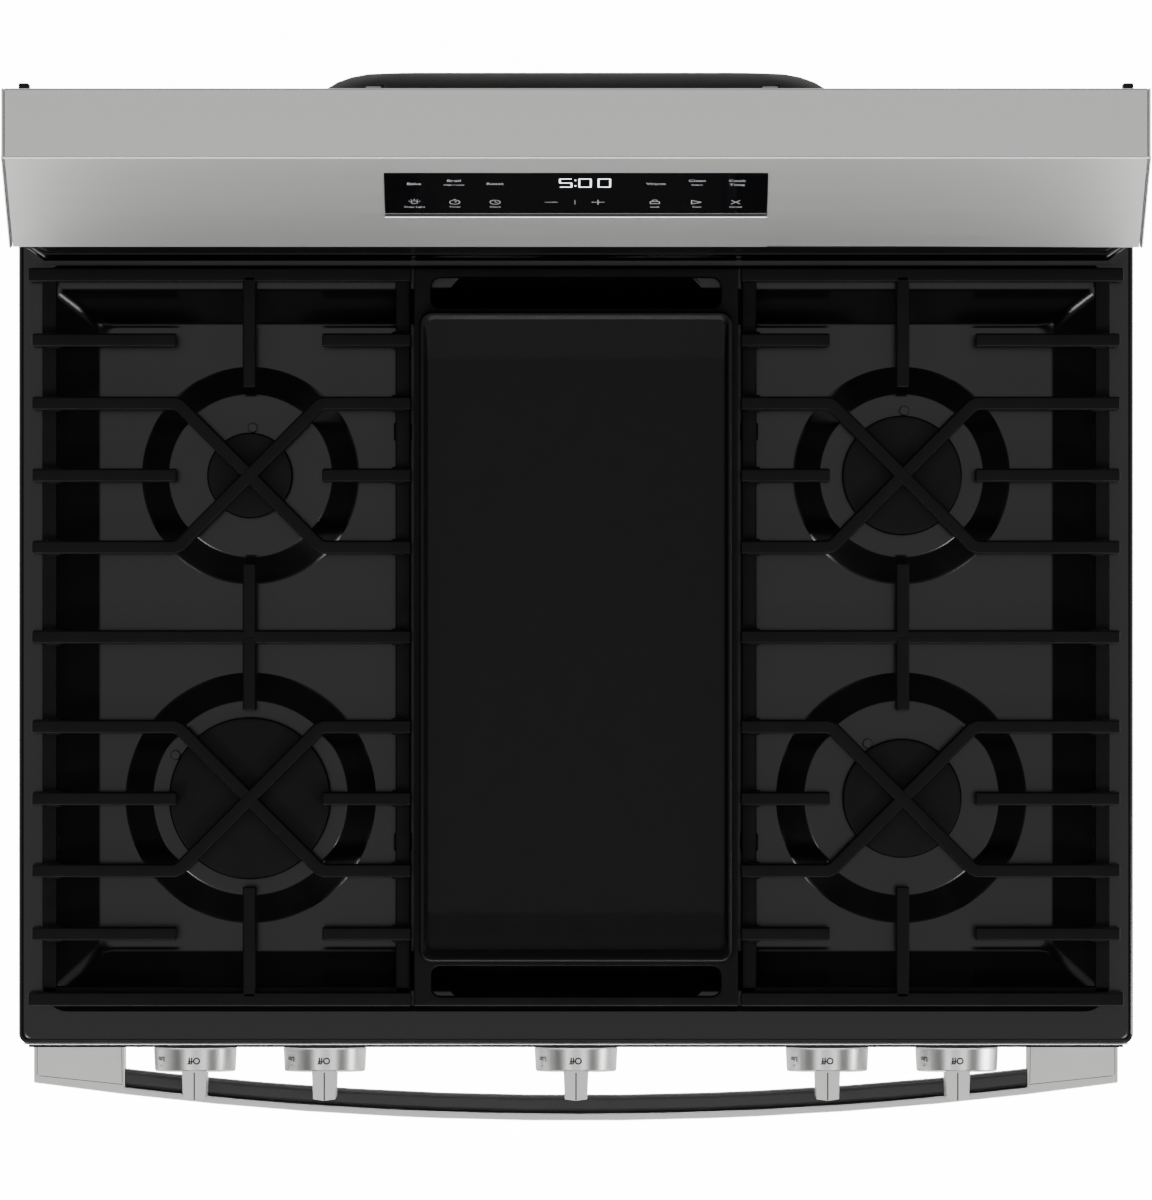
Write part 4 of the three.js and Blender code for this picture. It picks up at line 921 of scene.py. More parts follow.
def middleGrate(size):
    low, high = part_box("centre_grate")
    top, under = high.z, high.z - size["depth"]
    front, rear, half = low.y, high.y, high.x
    edge = size["edge"]
    shapes = []
    gridLow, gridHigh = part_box("griddle")
    # front and rear bridges, each with a hand slot
    for a, b in ((front, gridLow.y + 0.010), (gridHigh.y - 0.010, rear)):
        atFront = a == front
        slotFront = a + size["slotInset"] if atFront else b - size["slotInset"] - size["slotDepth"]
        slotRear = slotFront + size["slotDepth"]
        outside, hole = (-half, half, a, b), (-size["slotHalf"], size["slotHalf"], slotFront, slotRear)
        corner = size["slotRadius"]
        plates = [plate(hole, 0, under, corner), plate(outside, 0, under, 0.001),
                  plate(outside, 0, top - edge, 0.001), plate(outside, -edge * 0.3, top - edge * 0.3, 0.001),
                  plate(outside, -edge, top, 0.001), plate(hole, edge, top, corner + edge),
                  plate(hole, edge * 0.3, top - edge * 0.3, corner + edge * 0.3),
                  plate(hole, 0, top - edge, corner), plate(hole, 0, under, corner)]
        ringPlate = stackedPlates(plates, steps=5, closeFirst=False, closeLast=False)
        bmesh.ops.remove_doubles(ringPlate, verts=ringPlate.verts, dist=1e-6)
        shapes.append(ringPlate)
    for side in (-1, 1):
        inner, outer = sorted((side * (half - size["sideRail"]), side * half))
        shapes.append(eased(block((inner, gridLow.y + 0.008, under), (outer, gridHigh.y - 0.008, top)), edge))
        foot = size["foot"]
        for y in (low.y + size["footFromEnd"], high.y - size["footFromEnd"]):
            shapes.append(stub(side * (half - foot), y, foot, foot, low.z, under + 0.002, edge))
    shapes.append(ironBar([(0, gridLow.y + 0.009), (0, gridHigh.y - 0.009)], size["bar"], top, size["depth"]))
    step = (gridHigh.y - gridLow.y) / 4
    for number in (1, 2, 3):
        y = gridLow.y + step * number
        shapes.append(ironBar([(-half + 0.015, y), (half - 0.015, y)], size["bar"], top, size["depth"]))
    return together(*shapes)


finished("centreGrateCasting", middleGrate(middleLook), castIron, "centre_grate_body",
         ["centre_grate"], turnSharp=45)

griddleLook = {"frontRamp": 0.026, "rearRamp": 0.027, "lip": 0.008, "corner": 0.008, "rearShelf": 0.005,
               "floorThick": 0.0042, "lipDrop": 0.0034, "foldRun": 0.001}


def griddleShape(size):
    low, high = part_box("griddle")
    rim, floor = high.z, low.z + size["floorThick"]
    half, front, rear = high.x, low.y, high.y
    lip, shelf, corner = size["lip"], size["rearShelf"], size["corner"]
    drop, fold = size["lipDrop"], size["foldRun"]

    def inside(side, atFront, atRear, height, radius):
        return (-half + side, half - side, front + atFront, rear - atRear, height, radius)

    outline = (-half, half, front, rear)
    plates = [plate(outline, -0.003, low.z, corner * 0.8), plate(outline, -0.0006, low.z + 0.003, corner),
              plate(outline, 0, rim - 0.0022, corner), plate(outline, -0.0004, rim - 0.0008, corner),
              plate(outline, -0.0014, rim, corner - 0.001),
              inside(0.0028, 0.0030, 0.0028, rim - 0.0002, corner - 0.002),
              inside(0.0040, lip, shelf, rim - 0.0026, corner - 0.002),
              inside(0.0044, lip + fold, shelf + fold, rim - drop, corner - 0.002)]
    a, b = size["frontRamp"], size["rearRamp"]
    for part, fall in ((0.12, 0.06), (0.5, 0.5), (0.88, 0.95), (1.0, 1.0)):
        plates.append(inside(0.0046 + 0.0008 * part, lip + fold + a * part, shelf + fold + b * part,
                             (rim - drop) + (floor - rim + drop) * fall,
                             max(corner - 0.003 - 0.003 * part, 0.001)))
    return stackedPlates(plates, steps=6)


finished("griddlePlate", griddleShape(griddleLook), griddleIron, "griddle_body", ["griddle"],
         turnSharp=40)
print("grates ready")


# backguard: enamel riser, folded steel housing, end caps and the touch panel

housingLook = {"topDepth": 0.0456, "edge": 0.0013, "pocket": 0.0016, "glassHalf": 0.1275,
               "glassFromTop": 0.026,
               "glassHeight": 0.070, "glassThick": 0.0011, "glassCorner": 0.0014}
housingLow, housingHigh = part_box("control_housing")
slopeTopY = housingHigh.y - housingLook["topDepth"]
slopeRun, slopeFall = slopeTopY - housingLow.y, housingHigh.z - housingLow.z
slopeTurn = Matrix.Rotation(math.atan2(slopeFall, slopeRun), 4, "X")
onSlope = Matrix.Translation((0, slopeTopY, housingHigh.z)) @ slopeTurn



def sideProfile(left, right):
    corners = [(housingHigh.y, housingLow.z), (housingLow.y, housingLow.z), (slopeTopY, housingHigh.z),
               (housingHigh.y, housingHigh.z)]
    return prism([(left, y, z) for y, z in corners], (right - left, 0, 0))


def housingShell(size):
    shape = sideProfile(housingLow.x, housingHigh.x)
    half = size["glassHalf"] + 0.0004
    upper, lower = -size["glassFromTop"] + 0.0004, -size["glassFromTop"] - size["glassHeight"] - 0.0004
    cuts = [((half, 0, 0), (1, 0, 0)), ((-half, 0, 0), (1, 0, 0)), ((0, upper, 0), (0, 1, 0)),
            ((0, lower, 0), (0, 1, 0))]
    for point, normal in cuts:
        bmesh.ops.bisect_plane(shape, geom=shape.verts[:] + shape.edges[:] + shape.faces[:], dist=1e-7,
                               plane_co=onSlope @ Vector(point), plane_no=onSlope.to_3x3() @ Vector(normal))
    middle = onSlope @ Vector((0, (upper + lower) / 2, 0))
    window = min(shape.faces, key=lambda face: (face.calc_center_median() - middle).length)
    outward = onSlope.to_3x3() @ Vector((0, 0, 1))
    pushed(shape, window, Matrix.Translation(outward * -size["pocket"]))
    bmesh.ops.dissolve_limit(shape, angle_limit=math.radians(0.5), verts=shape.verts, edges=shape.edges)
    return easedLong(shape, size["edge"])


def easedLong(shape, width):
    # long outer folds get a wide radius, the panel pocket a small one
    bmesh.ops.recalc_face_normals(shape, faces=shape.faces)
    bevelled(shape, [edge for edge in foldsOf(shape, 0.35) if edge.calc_length() > 0.5], width, 4)
    pocket = [edge for edge in foldsOf(shape, 1.2)
              if edge.calc_length() < 0.3 and abs(edge.verts[0].co.x) < 0.2]
    return bevelled(shape, pocket, 0.0003, 2)


finished("housingShell", housingShell(housingLook), stainless, "cabinet", ["control_housing"],
         turnSharp=50)
for node in ("left_end_cap", "right_end_cap"):
    low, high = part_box(node)
    finished("housing_" + node, eased(sideProfile(low.x, high.x), 0.0007, 3, 40), capSteel, "cabinet",
             [node],
             turnSharp=50)

# painted highlights: bright steel rods along the crease, the two sloping ends and the lower edge of the panel
# pocket, standing in for the light caught on those folds
foldLook = {"radius": 0.0008, "inset": 0.0005, "sunk": 0.0005, "pocketRadius": 0.0009, "pocketLift": 0.0002}
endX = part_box("right_end_cap")[1].x - foldLook["inset"]
foldLines = [crossRod(foldLook["radius"], endX, slopeTopY, housingHigh.z - foldLook["sunk"], 16)]
for side in (-1, 1):
    foldLines.append(rod(foldLook["radius"], (side * endX, slopeTopY, housingHigh.z - 0.001),
                         (side * endX, housingLow.y + 0.0003, housingLow.z + 0.001), 16))
pocketFoot = -housingLook["glassFromTop"] - housingLook["glassHeight"] - 0.0006
pocketEnds = [onSlope @ Vector((side * housingLook["glassHalf"], pocketFoot, foldLook["pocketLift"]))
              for side in (-1, 1)]
foldLines.append(rod(foldLook["pocketRadius"], *pocketEnds, 16))
finished("paintedFoldHighlights", together(*foldLines), highlightSteel, "cabinet", turnSharp=40)


def riserShape():
    low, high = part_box("backguard_riser")
    half, corner, step = high.x, 0.012, 0.006
    plan = [(-half, high.y), (-half, low.y + step), (-half + corner, low.y), (half - corner, low.y),
            (half, low.y + step), (half, high.y)]
    return eased(prism([(x, y, low.z) for x, y in plan], (0, 0, high.z - low.z)), 0.003, 4, 20)


finished("riserPanel", riserShape(), deckEnamel, "cabinet", ["backguard_riser"], turnSharp=40)


def flatPlate(left, right, bottom, top, low, high, radius, edge):
    box = (left, right, bottom, top)
    return stackedPlates([plate(box, 0, low, radius), plate(box, 0, high - edge, radius),
                          plate(box, -edge * 0.3, high - edge * 0.3, radius),
                          plate(box, -edge, high, radius)], steps=4)


glassBottom = -housingLook["glassFromTop"] - housingLook["glassHeight"]
glassTopFace = -housingLook["pocket"] + housingLook["glassThick"]
touchGlass = flatPlate(-housingLook["glassHalf"], housingLook["glassHalf"], glassBottom,
                       -housingLook["glassFromTop"],
                       -housingLook["pocket"] + 0.0001, glassTopFace, housingLook["glassCorner"], 0.0003)
finished("touchGlass", placed(touchGlass, onSlope), panelGlass, "cabinet", ["touch_panel"],
         turnSharp=40)

onGlass = onSlope @ Matrix.Translation((0, 0, glassTopFace + 0.00005))
printLook = {"line": 0.00055, "thick": 0.00006, "wordSize": 0.0050, "smallSize": 0.0031, "wordRow": -0.0445,
             "upperRow": -0.0395,
             "lowerRow": -0.0462, "iconRow": -0.0743, "captionRow": -0.0822, "clockRow": -0.0431}


def stroke(x0, y0, x1, y1, width=printLook["line"]):
    length = math.hypot(x1 - x0, y1 - y0)
    bar = block((-length / 2, -width / 2, 0), (length / 2, width / 2, printLook["thick"]))
    turn = Matrix.Rotation(math.atan2(y1 - y0, x1 - x0), 4, "Z")
    return placed(bar, Matrix.Translation(((x0 + x1) / 2, (y0 + y1) / 2, 0)) @ turn)


def hoop(x, y, radius):
    inner, outer, thick = radius - printLook["line"] / 2, radius + printLook["line"] / 2, printLook["thick"]
    return turned([(inner, 0), (outer, 0), (outer, thick), (inner, thick)], 28, (x, y, 0))


def word(text, x, y, size):
    return placed(lettering(text, size, 0.00004), Matrix.Translation((x, y, 0)))


def clockDigits(text, x, y, height, width, pitch):
    bars = {"5": "afgcd", "0": "abcdef"}
    places = {"a": (-1, 1, 1, 1), "b": (1, 1, 1, 0), "c": (1, 0, 1, -1), "d": (-1, -1, 1, -1),
              "e": (-1, 0, -1, -1),
              "f": (-1, 1, -1, 0), "g": (-1, 0, 1, 0)}
    shapes = []
    for letter in text:
        if letter == ":":
            for rise in (-0.3, 0.3):
                dotAt = x - pitch / 2
                shapes.append(stroke(dotAt - 0.0005, y + rise * height, dotAt + 0.0005, y + rise * height,
                                     0.0016))
            continue
        for name in bars[letter]:
            x0, y0, x1, y1 = places[name]
            shapes.append(stroke(x + x0 * width * 0.42, y + y0 * height * 0.44, x + x1 * width * 0.42,
                                 y + y1 * height * 0.44, 0.0011))
        x += pitch
    return shapes


def panelPrint(size):
    big, small, icon = size["wordSize"], size["smallSize"], size["iconRow"]
    words = (("Bake", -0.1077, "wordRow", big), ("Broil", -0.0811, "upperRow", big),
             ("High / Low", -0.0811, "lowerRow", small), ("Roast", -0.0539, "wordRow", big),
             ("Warm", 0.0532, "wordRow", big), ("Clean", 0.0805, "upperRow", big),
             ("Steam", 0.0805, "lowerRow", small), ("Cook", 0.1071, "upperRow", big),
             ("Time", 0.1071, "lowerRow", big),
             ("Oven Light", -0.1077, "captionRow", small), ("Timer", -0.0808, "captionRow", small),
             ("Clock", -0.0539, "captionRow", small), ("Lock", 0.0525, "captionRow", small),
             ("Start", 0.0805, "captionRow", small), ("Cancel", 0.1064, "captionRow", small))
    shapes = [word(text, x, size[row], height) for text, x, row, height in words]

    def drawn(x, *lines):
        return [stroke(x + a, icon + b, x + c, icon + d) for a, b, c, d in lines]

    rays = [(0.0030 * c, 0.0036 * s, 0.0042 * c, 0.0052 * s) for c, s in arcPoints(20, 161, 35)]
    shapes += [hoop(-0.1077, icon, 0.0022), *drawn(-0.1077, *rays)]
    shapes += [hoop(-0.0808, icon, 0.0034),
               *drawn(-0.0808, (0, 0, 0.0014, 0.0014), (-0.0008, 0.0045, 0.0008, 0.0045))]
    shapes += [hoop(-0.0539, icon, 0.0034), *drawn(-0.0539, (0, 0, 0, 0.0022), (0, 0, 0.0016, 0))]
    shapes += [stroke(-0.0210, icon, -0.0122, icon),
               stroke(-0.0007, icon - 0.0035, -0.0007, icon + 0.0035, 0.0004),
               stroke(0.0104, icon, 0.0190, icon), stroke(0.0147, icon - 0.0038, 0.0147, icon + 0.0038)]
    shapes += drawn(0.0525, (-0.003, -0.0025, 0.003, -0.0025), (-0.003, -0.0025, -0.003, 0.001),
                    (0.003, -0.0025, 0.003, 0.001), (-0.003, 0.001, 0.003, 0.001),
                    (-0.0018, 0.001, -0.0014, 0.0036), (0.0018, 0.001, 0.0014, 0.0036),
                    (-0.0014, 0.0036, 0.0014, 0.0036))
    shapes += drawn(0.0798, (-0.0028, -0.003, -0.0028, 0.003), (-0.0028, 0.003, 0.0038, 0),
                    (-0.0028, -0.003, 0.0038, 0))
    shapes += drawn(0.1064, (-0.003, -0.003, 0.003, 0.003), (-0.003, 0.003, 0.003, -0.003))
    return placed(together(*shapes), onGlass)


finished("panelPrint", panelPrint(printLook), printWhite, "cabinet")
digits = together(*clockDigits("5:00", -0.0068, printLook["clockRow"], 0.0150, 0.0092, 0.0128))
finished("clockDigits", placed(digits, onGlass), clockGlow, "cabinet")
print("backguard ready")


# control knobs: a lettered skirt and a ridged blade

knobLook = {"skirt": 0.0165, "wall": 0.0022, "edge": 0.0016, "bladeBase": 0.0172, "bladeTip": 0.0156,
            "ridge": 0.0011,
            "line": 0.0009, "offSize": 0.0064, "liteSize": 0.0048}


def aroundSkirt(shape, radius, degrees, depth):
    # wraps flat lettering round the skirt, reading from behind
    for vert in shape.verts:
        angle = math.radians(degrees) - vert.co.x / radius
        reach = radius + 0.00006 + vert.co.z
        vert.co = Vector((reach * math.sin(angle), depth - vert.co.y, reach * math.cos(angle)))
    return shape


def knobShape(size, low, high):
    radius, depth = (high.x - low.x) / 2, high.y - low.y
    edge, skirt = size["edge"], size["skirt"]
    profile = [(radius - size["wall"], 0.0), (radius - 0.0006, 0.0), (radius, 0.0007)]
    profile += [(radius - 0.0007 - edge + edge * along, skirt - edge + edge * rise)
                for along, rise in arcPoints(0, 91, 18)]
    profile += [(radius * 0.75, skirt - 0.0003), (radius * 0.4, skirt - 0.0008), (0, skirt - 0.0009)]
    cap = turned(profile, 96, ring=False)
    inside = turned([(radius - size["wall"], 0.0), (radius - size["wall"], skirt - 0.003),
                     (0.009, skirt - 0.003),
                     (0.009, 0.0015), (0.0045, 0.0015), (0.0045, skirt - 0.004), (0, skirt - 0.004)], 48,
                    ring=False)
    base, tip, ridge = size["bladeBase"] / 2, size["bladeTip"] / 2, size["ridge"]
    long = radius - 0.0004
    # the blade's outline: full width at the skirt, a shallow ridge at the tip
    plan = [(-base, skirt - 0.0015), (base, skirt - 0.0015), (tip, depth - ridge), (0.0, depth),
            (-tip, depth - ridge)]
    blade = eased(prism([(x, -long, z) for x, z in plan], (0, long * 2, 0)), 0.0007, 2, 12)
    return together(cap, inside, blade)


def knobBack(size, radius):
    # back with a hub for the stem; its black is painted shade for the knob's shaded rear face
    rim = radius - size["wall"] - 0.0001
    return turned([(0.0047, 0.0002), (0.0085, 0.0002), (0.0095, 0.0012), (radius - 0.0045, 0.0014),
                   (radius - 0.0035, 0.0004), (rim, 0.0004), (rim, 0.003), (0.0047, 0.003)], 64)


dials = [name for name in nodes if name.startswith("knob_")]
for dial in dials:
    low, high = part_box(dial)
    place = dial[len("knob_"):]
    centre = Vector(((low.x + high.x) / 2, high.y, (low.z + high.z) / 2))
    forward = Matrix.Translation(centre) @ upright
    body = bodyOf(dial)
    finished("knobBody_" + place, placed(knobShape(knobLook, low, high), forward), knobSteel, body,
             [dial],
             turnSharp=38)
    radius = (high.x - low.x) / 2
    # the knob's back is drawn black as painted shade
    finished("knobBack_" + place, placed(knobBack(knobLook, radius), forward), rubberAndKnobShade, body,
             turnSharp=38)
    marks = [aroundSkirt(lettering("Off", knobLook["offSize"], 0.00003, 0.03), radius, 0, -0.0085),
             aroundSkirt(lettering("Lite", knobLook["liteSize"], 0.00003, 0.015), radius, -54, -0.0076),
             aroundSkirt(block((-0.0005, -0.0005, 0), (0.0005, 0.0005, 0.00004)), radius, -54, -0.0122)]
    half, tip = knobLook["line"] / 2, low.y - high.y
    line = block((-half, tip + 0.0004, radius - 0.0009),
                 (half, -knobLook["skirt"] - 0.0002, radius - 0.00034))
    front = block((-half, tip - 0.00002, 0.004), (half, tip + 0.0004, radius - 0.0010))
    marks = together(*marks, line, front)
    finished("knobMarks_" + place, placed(marks, Matrix.Translation(centre)), printBlack, body)
print("knobs ready")


# handle and control panel

finished("handleBar", copied("handle_frame", 0.0011, 3, 40), handleSteel, "door",
         ["handle_frame"], turnSharp=40)


def gripShape(width):
    shape = copied("handle_grip")
    bmesh.ops.recalc_face_normals(shape, faces=shape.faces)
    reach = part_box("handle_grip")[1].x - 0.001
    folds = [edge for edge in foldsOf(shape, 0.7) if min(abs(vert.co.x) for vert in edge.verts) < reach]
    return bevelled(shape, folds, width, 5)


finished("handleGrip", gripShape(0.0036), gripPaint, "door", ["handle_grip"], turnSharp=40)
finished("knobPanel", copied("control_panel", 0.0009, 3, 40), stainless, "cabinet",
         ["control_panel"],
         turnSharp=40)
dialLook = {"ringIn": 0.0305, "ringOut": 0.0311, "thick": 0.00012, "dotReach": 0.0335, "dotRadius": 0.0006}
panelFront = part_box("control_panel")[0].y
dialMarks = []
for dial in dials:
    low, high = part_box(dial)
    inside, outside, thick = dialLook["ringIn"], dialLook["ringOut"], dialLook["thick"]
    marks = [turned([(inside, 0.0), (outside, 0.0), (outside, thick), (inside, thick)], 64)]
    for angle in range(-120, 121, 30):
        turn = math.radians(angle)
        spot = (dialLook["dotReach"] * math.sin(turn), dialLook["dotReach"] * math.cos(turn), 0)
        dot = dialLook["dotRadius"]
        marks.append(turned([(0, thick), (dot, thick), (dot, 0.0)], 10, spot, ring=False))
    face = Matrix.Translation(((low.x + high.x) / 2, panelFront, (low.z + high.z) / 2)) @ upright
    dialMarks.append(placed(together(*marks), face))
finished("dialMarks", together(*dialMarks), printBlack, "cabinet")
print("handle and panel ready")


# oven door, window, inner panel and drawer

def backward(y):
    # a plate drawn flat then stood up to face the rear, from a plane
    return Matrix(((1, 0, 0, 0), (0, 0, 1, y), (0, 1, 0, 0), (0, 0, 0, 1)))


def doorSkin(node, edge, opening=None, inset=0.0):
    # a pressed front with soft corners; heights are distances forward of the middle plane
    low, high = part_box(node)
    back, front = -high.y, -low.y
    corner = 0.004
    box = (low.x, high.x, low.z, high.z)
    plates = [plate(box, -0.0015, back, corner), plate(box, 0, back + 0.0008, corner)]
    for along, rise in arcPoints(0, 91, 18):
        plates.append(plate(box, -edge * (1 - along), front - edge + edge * rise, corner))
    if opening:
        hole, radius = opening[:4], opening[4]
        for out, depth in ((0.0014, 0), (0.0004, 0.0004), (0, 0.0012), (0, 0.0030 + inset)):
            plates.append(plate(hole, out, front - depth, radius + out))
    shape = stackedPlates(plates, steps=5, closeLast=not opening)
    return placed(shape, upright)


# the opening is left, right, bottom, top and corner radius
doorLook = {"edge": 0.0042, "opening": (-0.262, 0.262, 0.386, 0.665, 0.010), "inset": -0.0016}
finished("doorFront", doorSkin("door_shell", doorLook["edge"], doorLook["opening"], doorLook["inset"]),
         stainless, "door", ["door_shell"],
         turnSharp=45)


def glassPane(node, radius, edge):
    low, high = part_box(node)
    return placed(flatPlate(low.x, high.x, low.z, high.z, -high.y, -low.y, radius, edge), upright)


finished("doorGlass", glassPane("door_window", 0.008, 0.0006), windowGlass, "door",
         ["door_window"], turnSharp=40)


insideLook = {"window": (-0.205, 0.205, 0.416, 0.635), "screwX": 0.225, "screwZ": (0.402, 0.525, 0.649),
              "pane": (-0.212, 0.212, 0.409, 0.642), "paneFront": 0.0145, "paneBack": 0.0180,
              "seal": (-0.318, 0.318, 0.2915, 0.7485), "sealThick": 0.0022}


def innerDoor(size):
    # pressed inner panel: flange, raised field, window frame and its screws
    low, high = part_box("door_inner_panel")
    face, box = high.y, (low.x, high.x, low.z, high.z)
    plates = [plate(box, -0.003, low.y, 0.004), plate(box, 0, low.y + 0.002, 0.005)]
    # how far in, how deep, corner radius
    for inward, depth, radius in ((0, 0.006, 0.005), (0.0008, 0.0048, 0.005), (0.0022, 0.0042, 0.006),
                                  (0.030, 0.0042, 0.02),
                                  (0.0325, 0.0034, 0.02), (0.036, 0.0008, 0.02), (0.039, 0, 0.02)):
        plates.append(plate(box, -inward, face - depth, radius))
    for out, depth, radius in ((0.024, 0.0001, 0.03), (0.0215, 0.0012, 0.028), (0.0165, 0.0052, 0.024),
                               (0.014, 0.0062, 0.022), (0.0015, 0.0062, 0.012), (0, 0.0072, 0.011),
                               (0, 0.014, 0.011)):
        plates.append(plate(size["window"], out, face - depth, radius))
    shapes = [stackedPlates(plates, steps=6, closeLast=False)]
    for x in (-size["screwX"], size["screwX"]):
        for z in size["screwZ"]:
            shapes.append(turned([(0, 0.0011), (0.0022, 0.0009), (0.0036, 0.0), (0.0036, -0.004)], 16,
                                 (x, z, face - 0.0010), ring=False))
    return placed(together(*shapes), backward(0))


finished("doorInside", innerDoor(insideLook), ovenEnamel, "door", ["door_inner_panel"],
         turnSharp=40)
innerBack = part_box("door_inner_panel")[1].y
pane = flatPlate(*insideLook["pane"], -innerBack + insideLook["paneFront"],
                 -innerBack + insideLook["paneBack"], 0.012, 0.0005)
finished("doorInsideGlass", placed(pane, upright), windowGlass, "door", turnSharp=40)


def ringTube(box, radius, thick, level):
    plates = []
    for along, rise in arcPoints(0, 360, 45):
        out = thick / 2 * along
        plates.append(plate(box, out, level + thick / 2 * rise * 0.8, radius + out))
    plates.append(plates[0])
    shape = stackedPlates(plates, steps=6, closeFirst=False, closeLast=False)
    bmesh.ops.remove_doubles(shape, verts=shape.verts, dist=1e-6)
    return shape


gasket = ringTube(insideLook["seal"], 0.03, insideLook["sealThick"],
                  -(innerBack + insideLook["sealThick"] / 2))
finished("doorSeal", placed(gasket, upright), rubberAndKnobShade, "door", turnSharp=60)
finished("drawerFront", doorSkin("drawer_front", doorLook["edge"]), stainless, "drawer",
         ["drawer_front"], turnSharp=45)
print("door and drawer ready")


# oven racks, fittings at the back and feet

rackLook = {"rim": 0.0028, "bar": 0.0017, "bars": 21, "cross": 2, "sides": 10}


def wireRack(node, size):
    low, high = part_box(node)
    level = (low.z + high.z) / 2
    rim, bar = size["rim"], size["bar"]
    x0, x1, y0, y1 = low.x + rim, high.x - rim, low.y + rim, high.y - rim
    plates = [plate((x0, x1, y0, y1), rim * along, level + rim * rise, 0.014 + rim * along)
              for along, rise in arcPoints(0, 360, 36)]
    plates.append(plates[0])
    frameWire = stackedPlates(plates, steps=5, closeFirst=False, closeLast=False)
    bmesh.ops.remove_doubles(frameWire, verts=frameWire.verts, dist=1e-6)
    shapes = [frameWire]
    for number in range(1, size["bars"] + 1):
        x = x0 + (x1 - x0) * number / (size["bars"] + 1)
        shapes.append(rod(bar, (x, y0, level + rim - bar), (x, y1, level + rim - bar), size["sides"]))
    for number in range(1, size["cross"] + 1):
        y = y0 + (y1 - y0) * number / (size["cross"] + 1)
        shapes.append(rod(rim * 0.85, (x0, y, level - bar * 0.4), (x1, y, level - bar * 0.4), size["sides"]))
    return together(*shapes)


for node in [name for name in nodes if "rack" in name and bodyOf(name) != "cabinet"]:
    finished(node + "_wires", wireRack(node, rackLook), rackWire, bodyOf(node), [node],
             turnSharp=60)

coverLook = {"flange": 0.0095, "run": 0.049, "sheet": 0.0016, "corner": 0.028, "rows": 6, "firstRow": 0.078,
             "pitch": 0.021,
             "columns": (-0.078, 0.0, 0.078), "slotHalf": 0.034, "slotHigh": 0.0022, "slotCorner": 0.0021,
             "screwIn": 0.005, "screwEnd": 0.03}


def motorCover(size):
    low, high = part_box("fan_motor_cover")
    box, thick, sheet = (low.x, high.x, low.z, high.z), high.y - low.y, size["sheet"]
    plates = [plate(box, 0, 0.0, 0.006), plate(box, 0, 0.0012, 0.006), plate(box, -0.0006, 0.0014, 0.006),
              plate(box, -size["flange"], sheet, 0.012)]
    for along, rise in arcPoints(12, 91, 13):
        plates.append(plate(box, -size["flange"] - size["run"] * (1 - along), sheet + (thick - sheet) * rise,
                            size["corner"]))
    shapes = [stackedPlates(plates, steps=6, closeFirst=False)]
    for row in range(size["rows"]):
        z = low.z + size["firstRow"] + row * size["pitch"]
        for x in size["columns"]:
            slot = (x - size["slotHalf"], x + size["slotHalf"], z - size["slotHigh"], z + size["slotHigh"])
            plates = [plate(slot, 0, thick - 0.0012, size["slotCorner"]),
                      plate(slot, 0, thick - 0.0002, size["slotCorner"]),
                      plate(slot, 0.001, thick - 0.00005, 0.003)]
            shapes.append(stackedPlates(plates, steps=3, closeLast=False))
    for x in (low.x + size["screwIn"], high.x - size["screwIn"]):
        for z in (low.z + size["screwEnd"], (low.z + high.z) / 2, high.z - size["screwEnd"]):
            shapes.append(turned([(0, 0.0036), (0.0026, 0.0034), (0.0042, 0.0014)], 14, (x, z, 0),
                                 ring=False))
    return placed(together(*shapes), backward(low.y))


finished("motorCover", motorCover(coverLook), coverPaintAndRollShade, "cabinet", ["fan_motor_cover"],
         turnSharp=40)

backLook = {"clipX": (-0.1335, 0.1290), "screwX": (-0.355, -0.18, 0.0, 0.18, 0.355), "screwZ": (0.09, 0.87),
            "spacerX": 0.3657, "spacerHalf": 0.0034, "hookX": 0.131, "hookWide": 0.0045, "seamHalf": 0.00022}
# seams round the cap of the handle's end block, as start and end in plan
seamLines = (((0.3713, -0.3348), (0.3134, -0.3409)), ((0.3727, -0.3135), (0.3727, -0.3340)),
             ((0.3143, -0.3135), (0.3139, -0.3400)))


def behindHousing(left, right, reach, drop, lift):
    # a small block on the housing's rear face
    return block((left, housingHigh.y + 0.0001, housingHigh.z - drop),
                 (right, housingHigh.y + reach, housingHigh.z - lift))


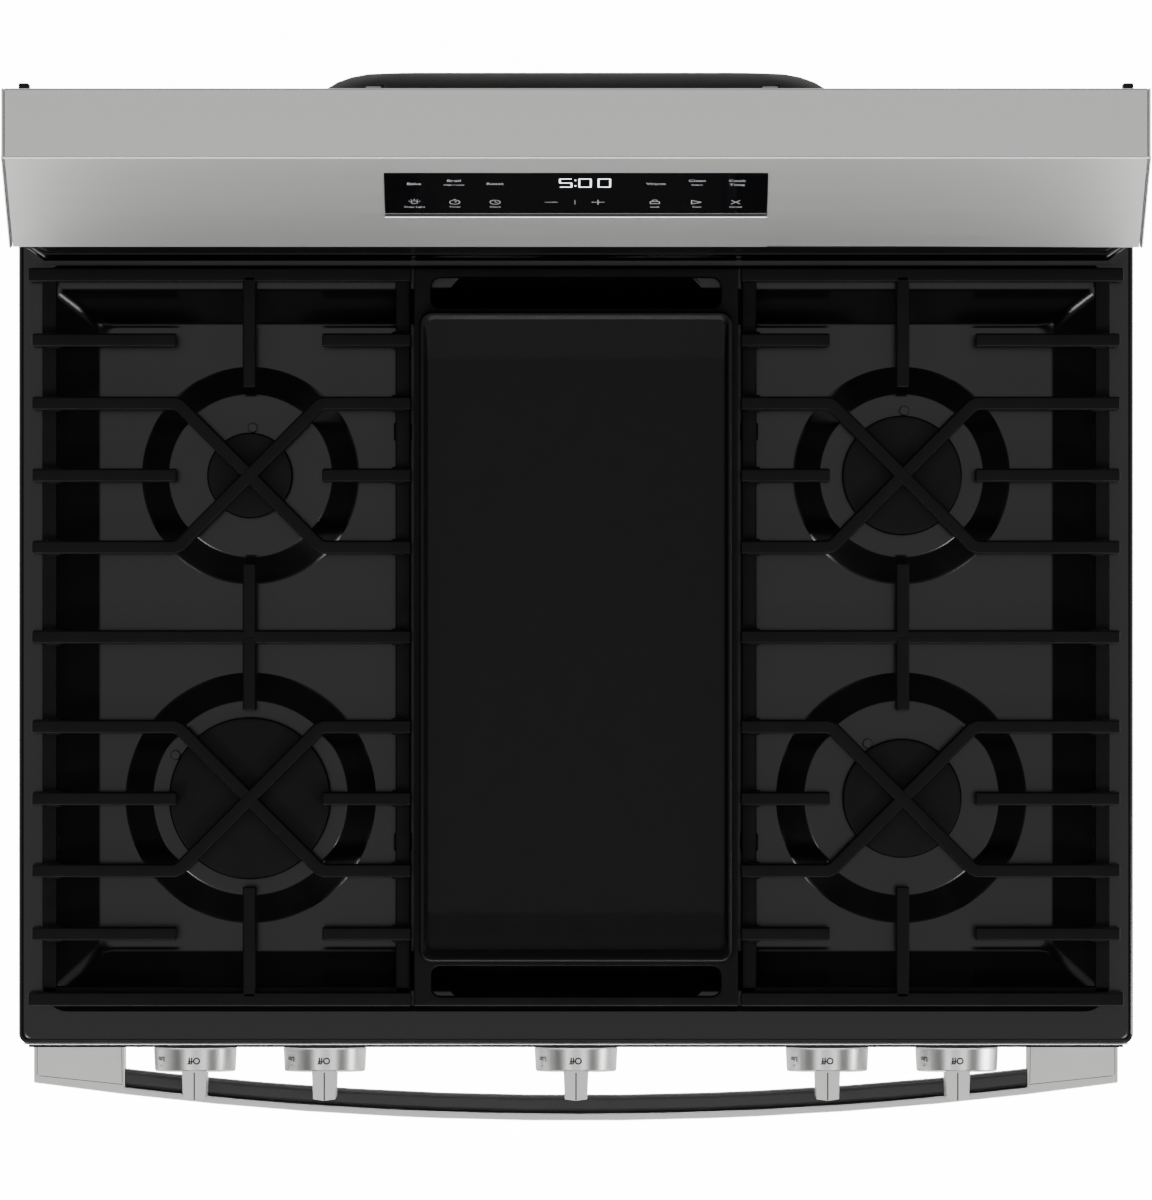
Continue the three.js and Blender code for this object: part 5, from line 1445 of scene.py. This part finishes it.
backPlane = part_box("back_panel")[1].y
clips = [eased(behindHousing(x - 0.0055, x + 0.0045, 0.0012, 0.016, 0.002),
               0.0004) for x in backLook["clipX"]]
for x in backLook["screwX"]:
    for z in backLook["screwZ"]:
        head = turned([(0, 0.0024), (0.0026, 0.0022), (0.0040, 0.0006), (0.0062, 0.0005), (0.0062, 0)], 16,
                      ring=False)
        clips.append(placed(head, Matrix.Translation((x, backPlane, z)) @ Matrix.Rotation(math.radians(-90),
                                                                                          4, "X")))
finished("backScrews", together(*clips), galvanised, "cabinet", turnSharp=40)
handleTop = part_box("handle_frame")[1].z
for side, name in ((-1, "left"), (1, "right")):
    x, half = side * backLook["spacerX"], backLook["spacerHalf"]
    spacer = eased(behindHousing(x - half, x + half, 0.0038, 0.034, 0.008), 0.0008, 3)
    finished("rearSpacer_" + name, spacer, rubberAndKnobShade, "cabinet", turnSharp=40)
    seams, thin = [], backLook["seamHalf"]
    for start, end in seamLines:
        length = math.dist(start, end)
        turn = Matrix.Rotation(math.atan2(end[1] - start[1], (end[0] - start[0]) * side), 4, "Z")
        place = Matrix.Translation((side * (start[0] + end[0]) / 2, (start[1] + end[1]) / 2, handleTop))
        seams.append(placed(block((-length / 2, -thin, -0.0002), (length / 2, thin, 0.00004)), place @ turn))
    finished("handleSeams_" + name, together(*seams), printBlack, "door")
    x = side * backLook["hookX"]
    hook = eased(behindHousing(x, x + backLook["hookWide"], 0.0032, 0.022, 0.006), 0.0006)
    finished("rearHook_" + name, hook, rubberAndKnobShade, "cabinet", turnSharp=40)

footLook = {"rings": 9, "firstRing": 0.012, "pitch": 0.002, "root": 0.0042, "crest": 0.0050,
            "nutRadius": 0.0095,
            "nutDepth": 0.0062, "nutHeight": 0.0312}


def footShape(node):
    low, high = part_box(node)
    x, y, radius = (low.x + high.x) / 2, (low.y + high.y) / 2, (high.x - low.x) / 2
    thread = []
    for number in range(footLook["rings"]):
        z = footLook["firstRing"] + number * footLook["pitch"]
        thread += [(footLook["root"], z), (footLook["crest"], z + footLook["pitch"] / 2)]
    profile = [(0, 0), (radius - 0.001, 0), (radius, 0.001), (radius, 0.0065), (radius - 0.0012, 0.0078),
               (0.008, 0.009), (0.0045, 0.0095), *thread, (footLook["root"], 0.0302),
               (footLook["root"], high.z), (0, high.z)]
    nut = bmesh.new()
    bmesh.ops.create_cone(nut, cap_ends=True, segments=6, radius1=footLook["nutRadius"],
                          radius2=footLook["nutRadius"], depth=footLook["nutDepth"],
                          matrix=Matrix.Translation((0, 0, footLook["nutHeight"])))
    eased(nut, 0.0006, 2, 50)
    return placed(together(turned(profile, 40, ring=False), nut), Matrix.Translation((x, y, 0)))


for node in [name for name in nodes if name.startswith("levelling_foot")]:
    finished(node + "_screw", footShape(node), dullAluminium, "cabinet", [node],
             turnSharp=35)
print("oven parts, back and feet ready")
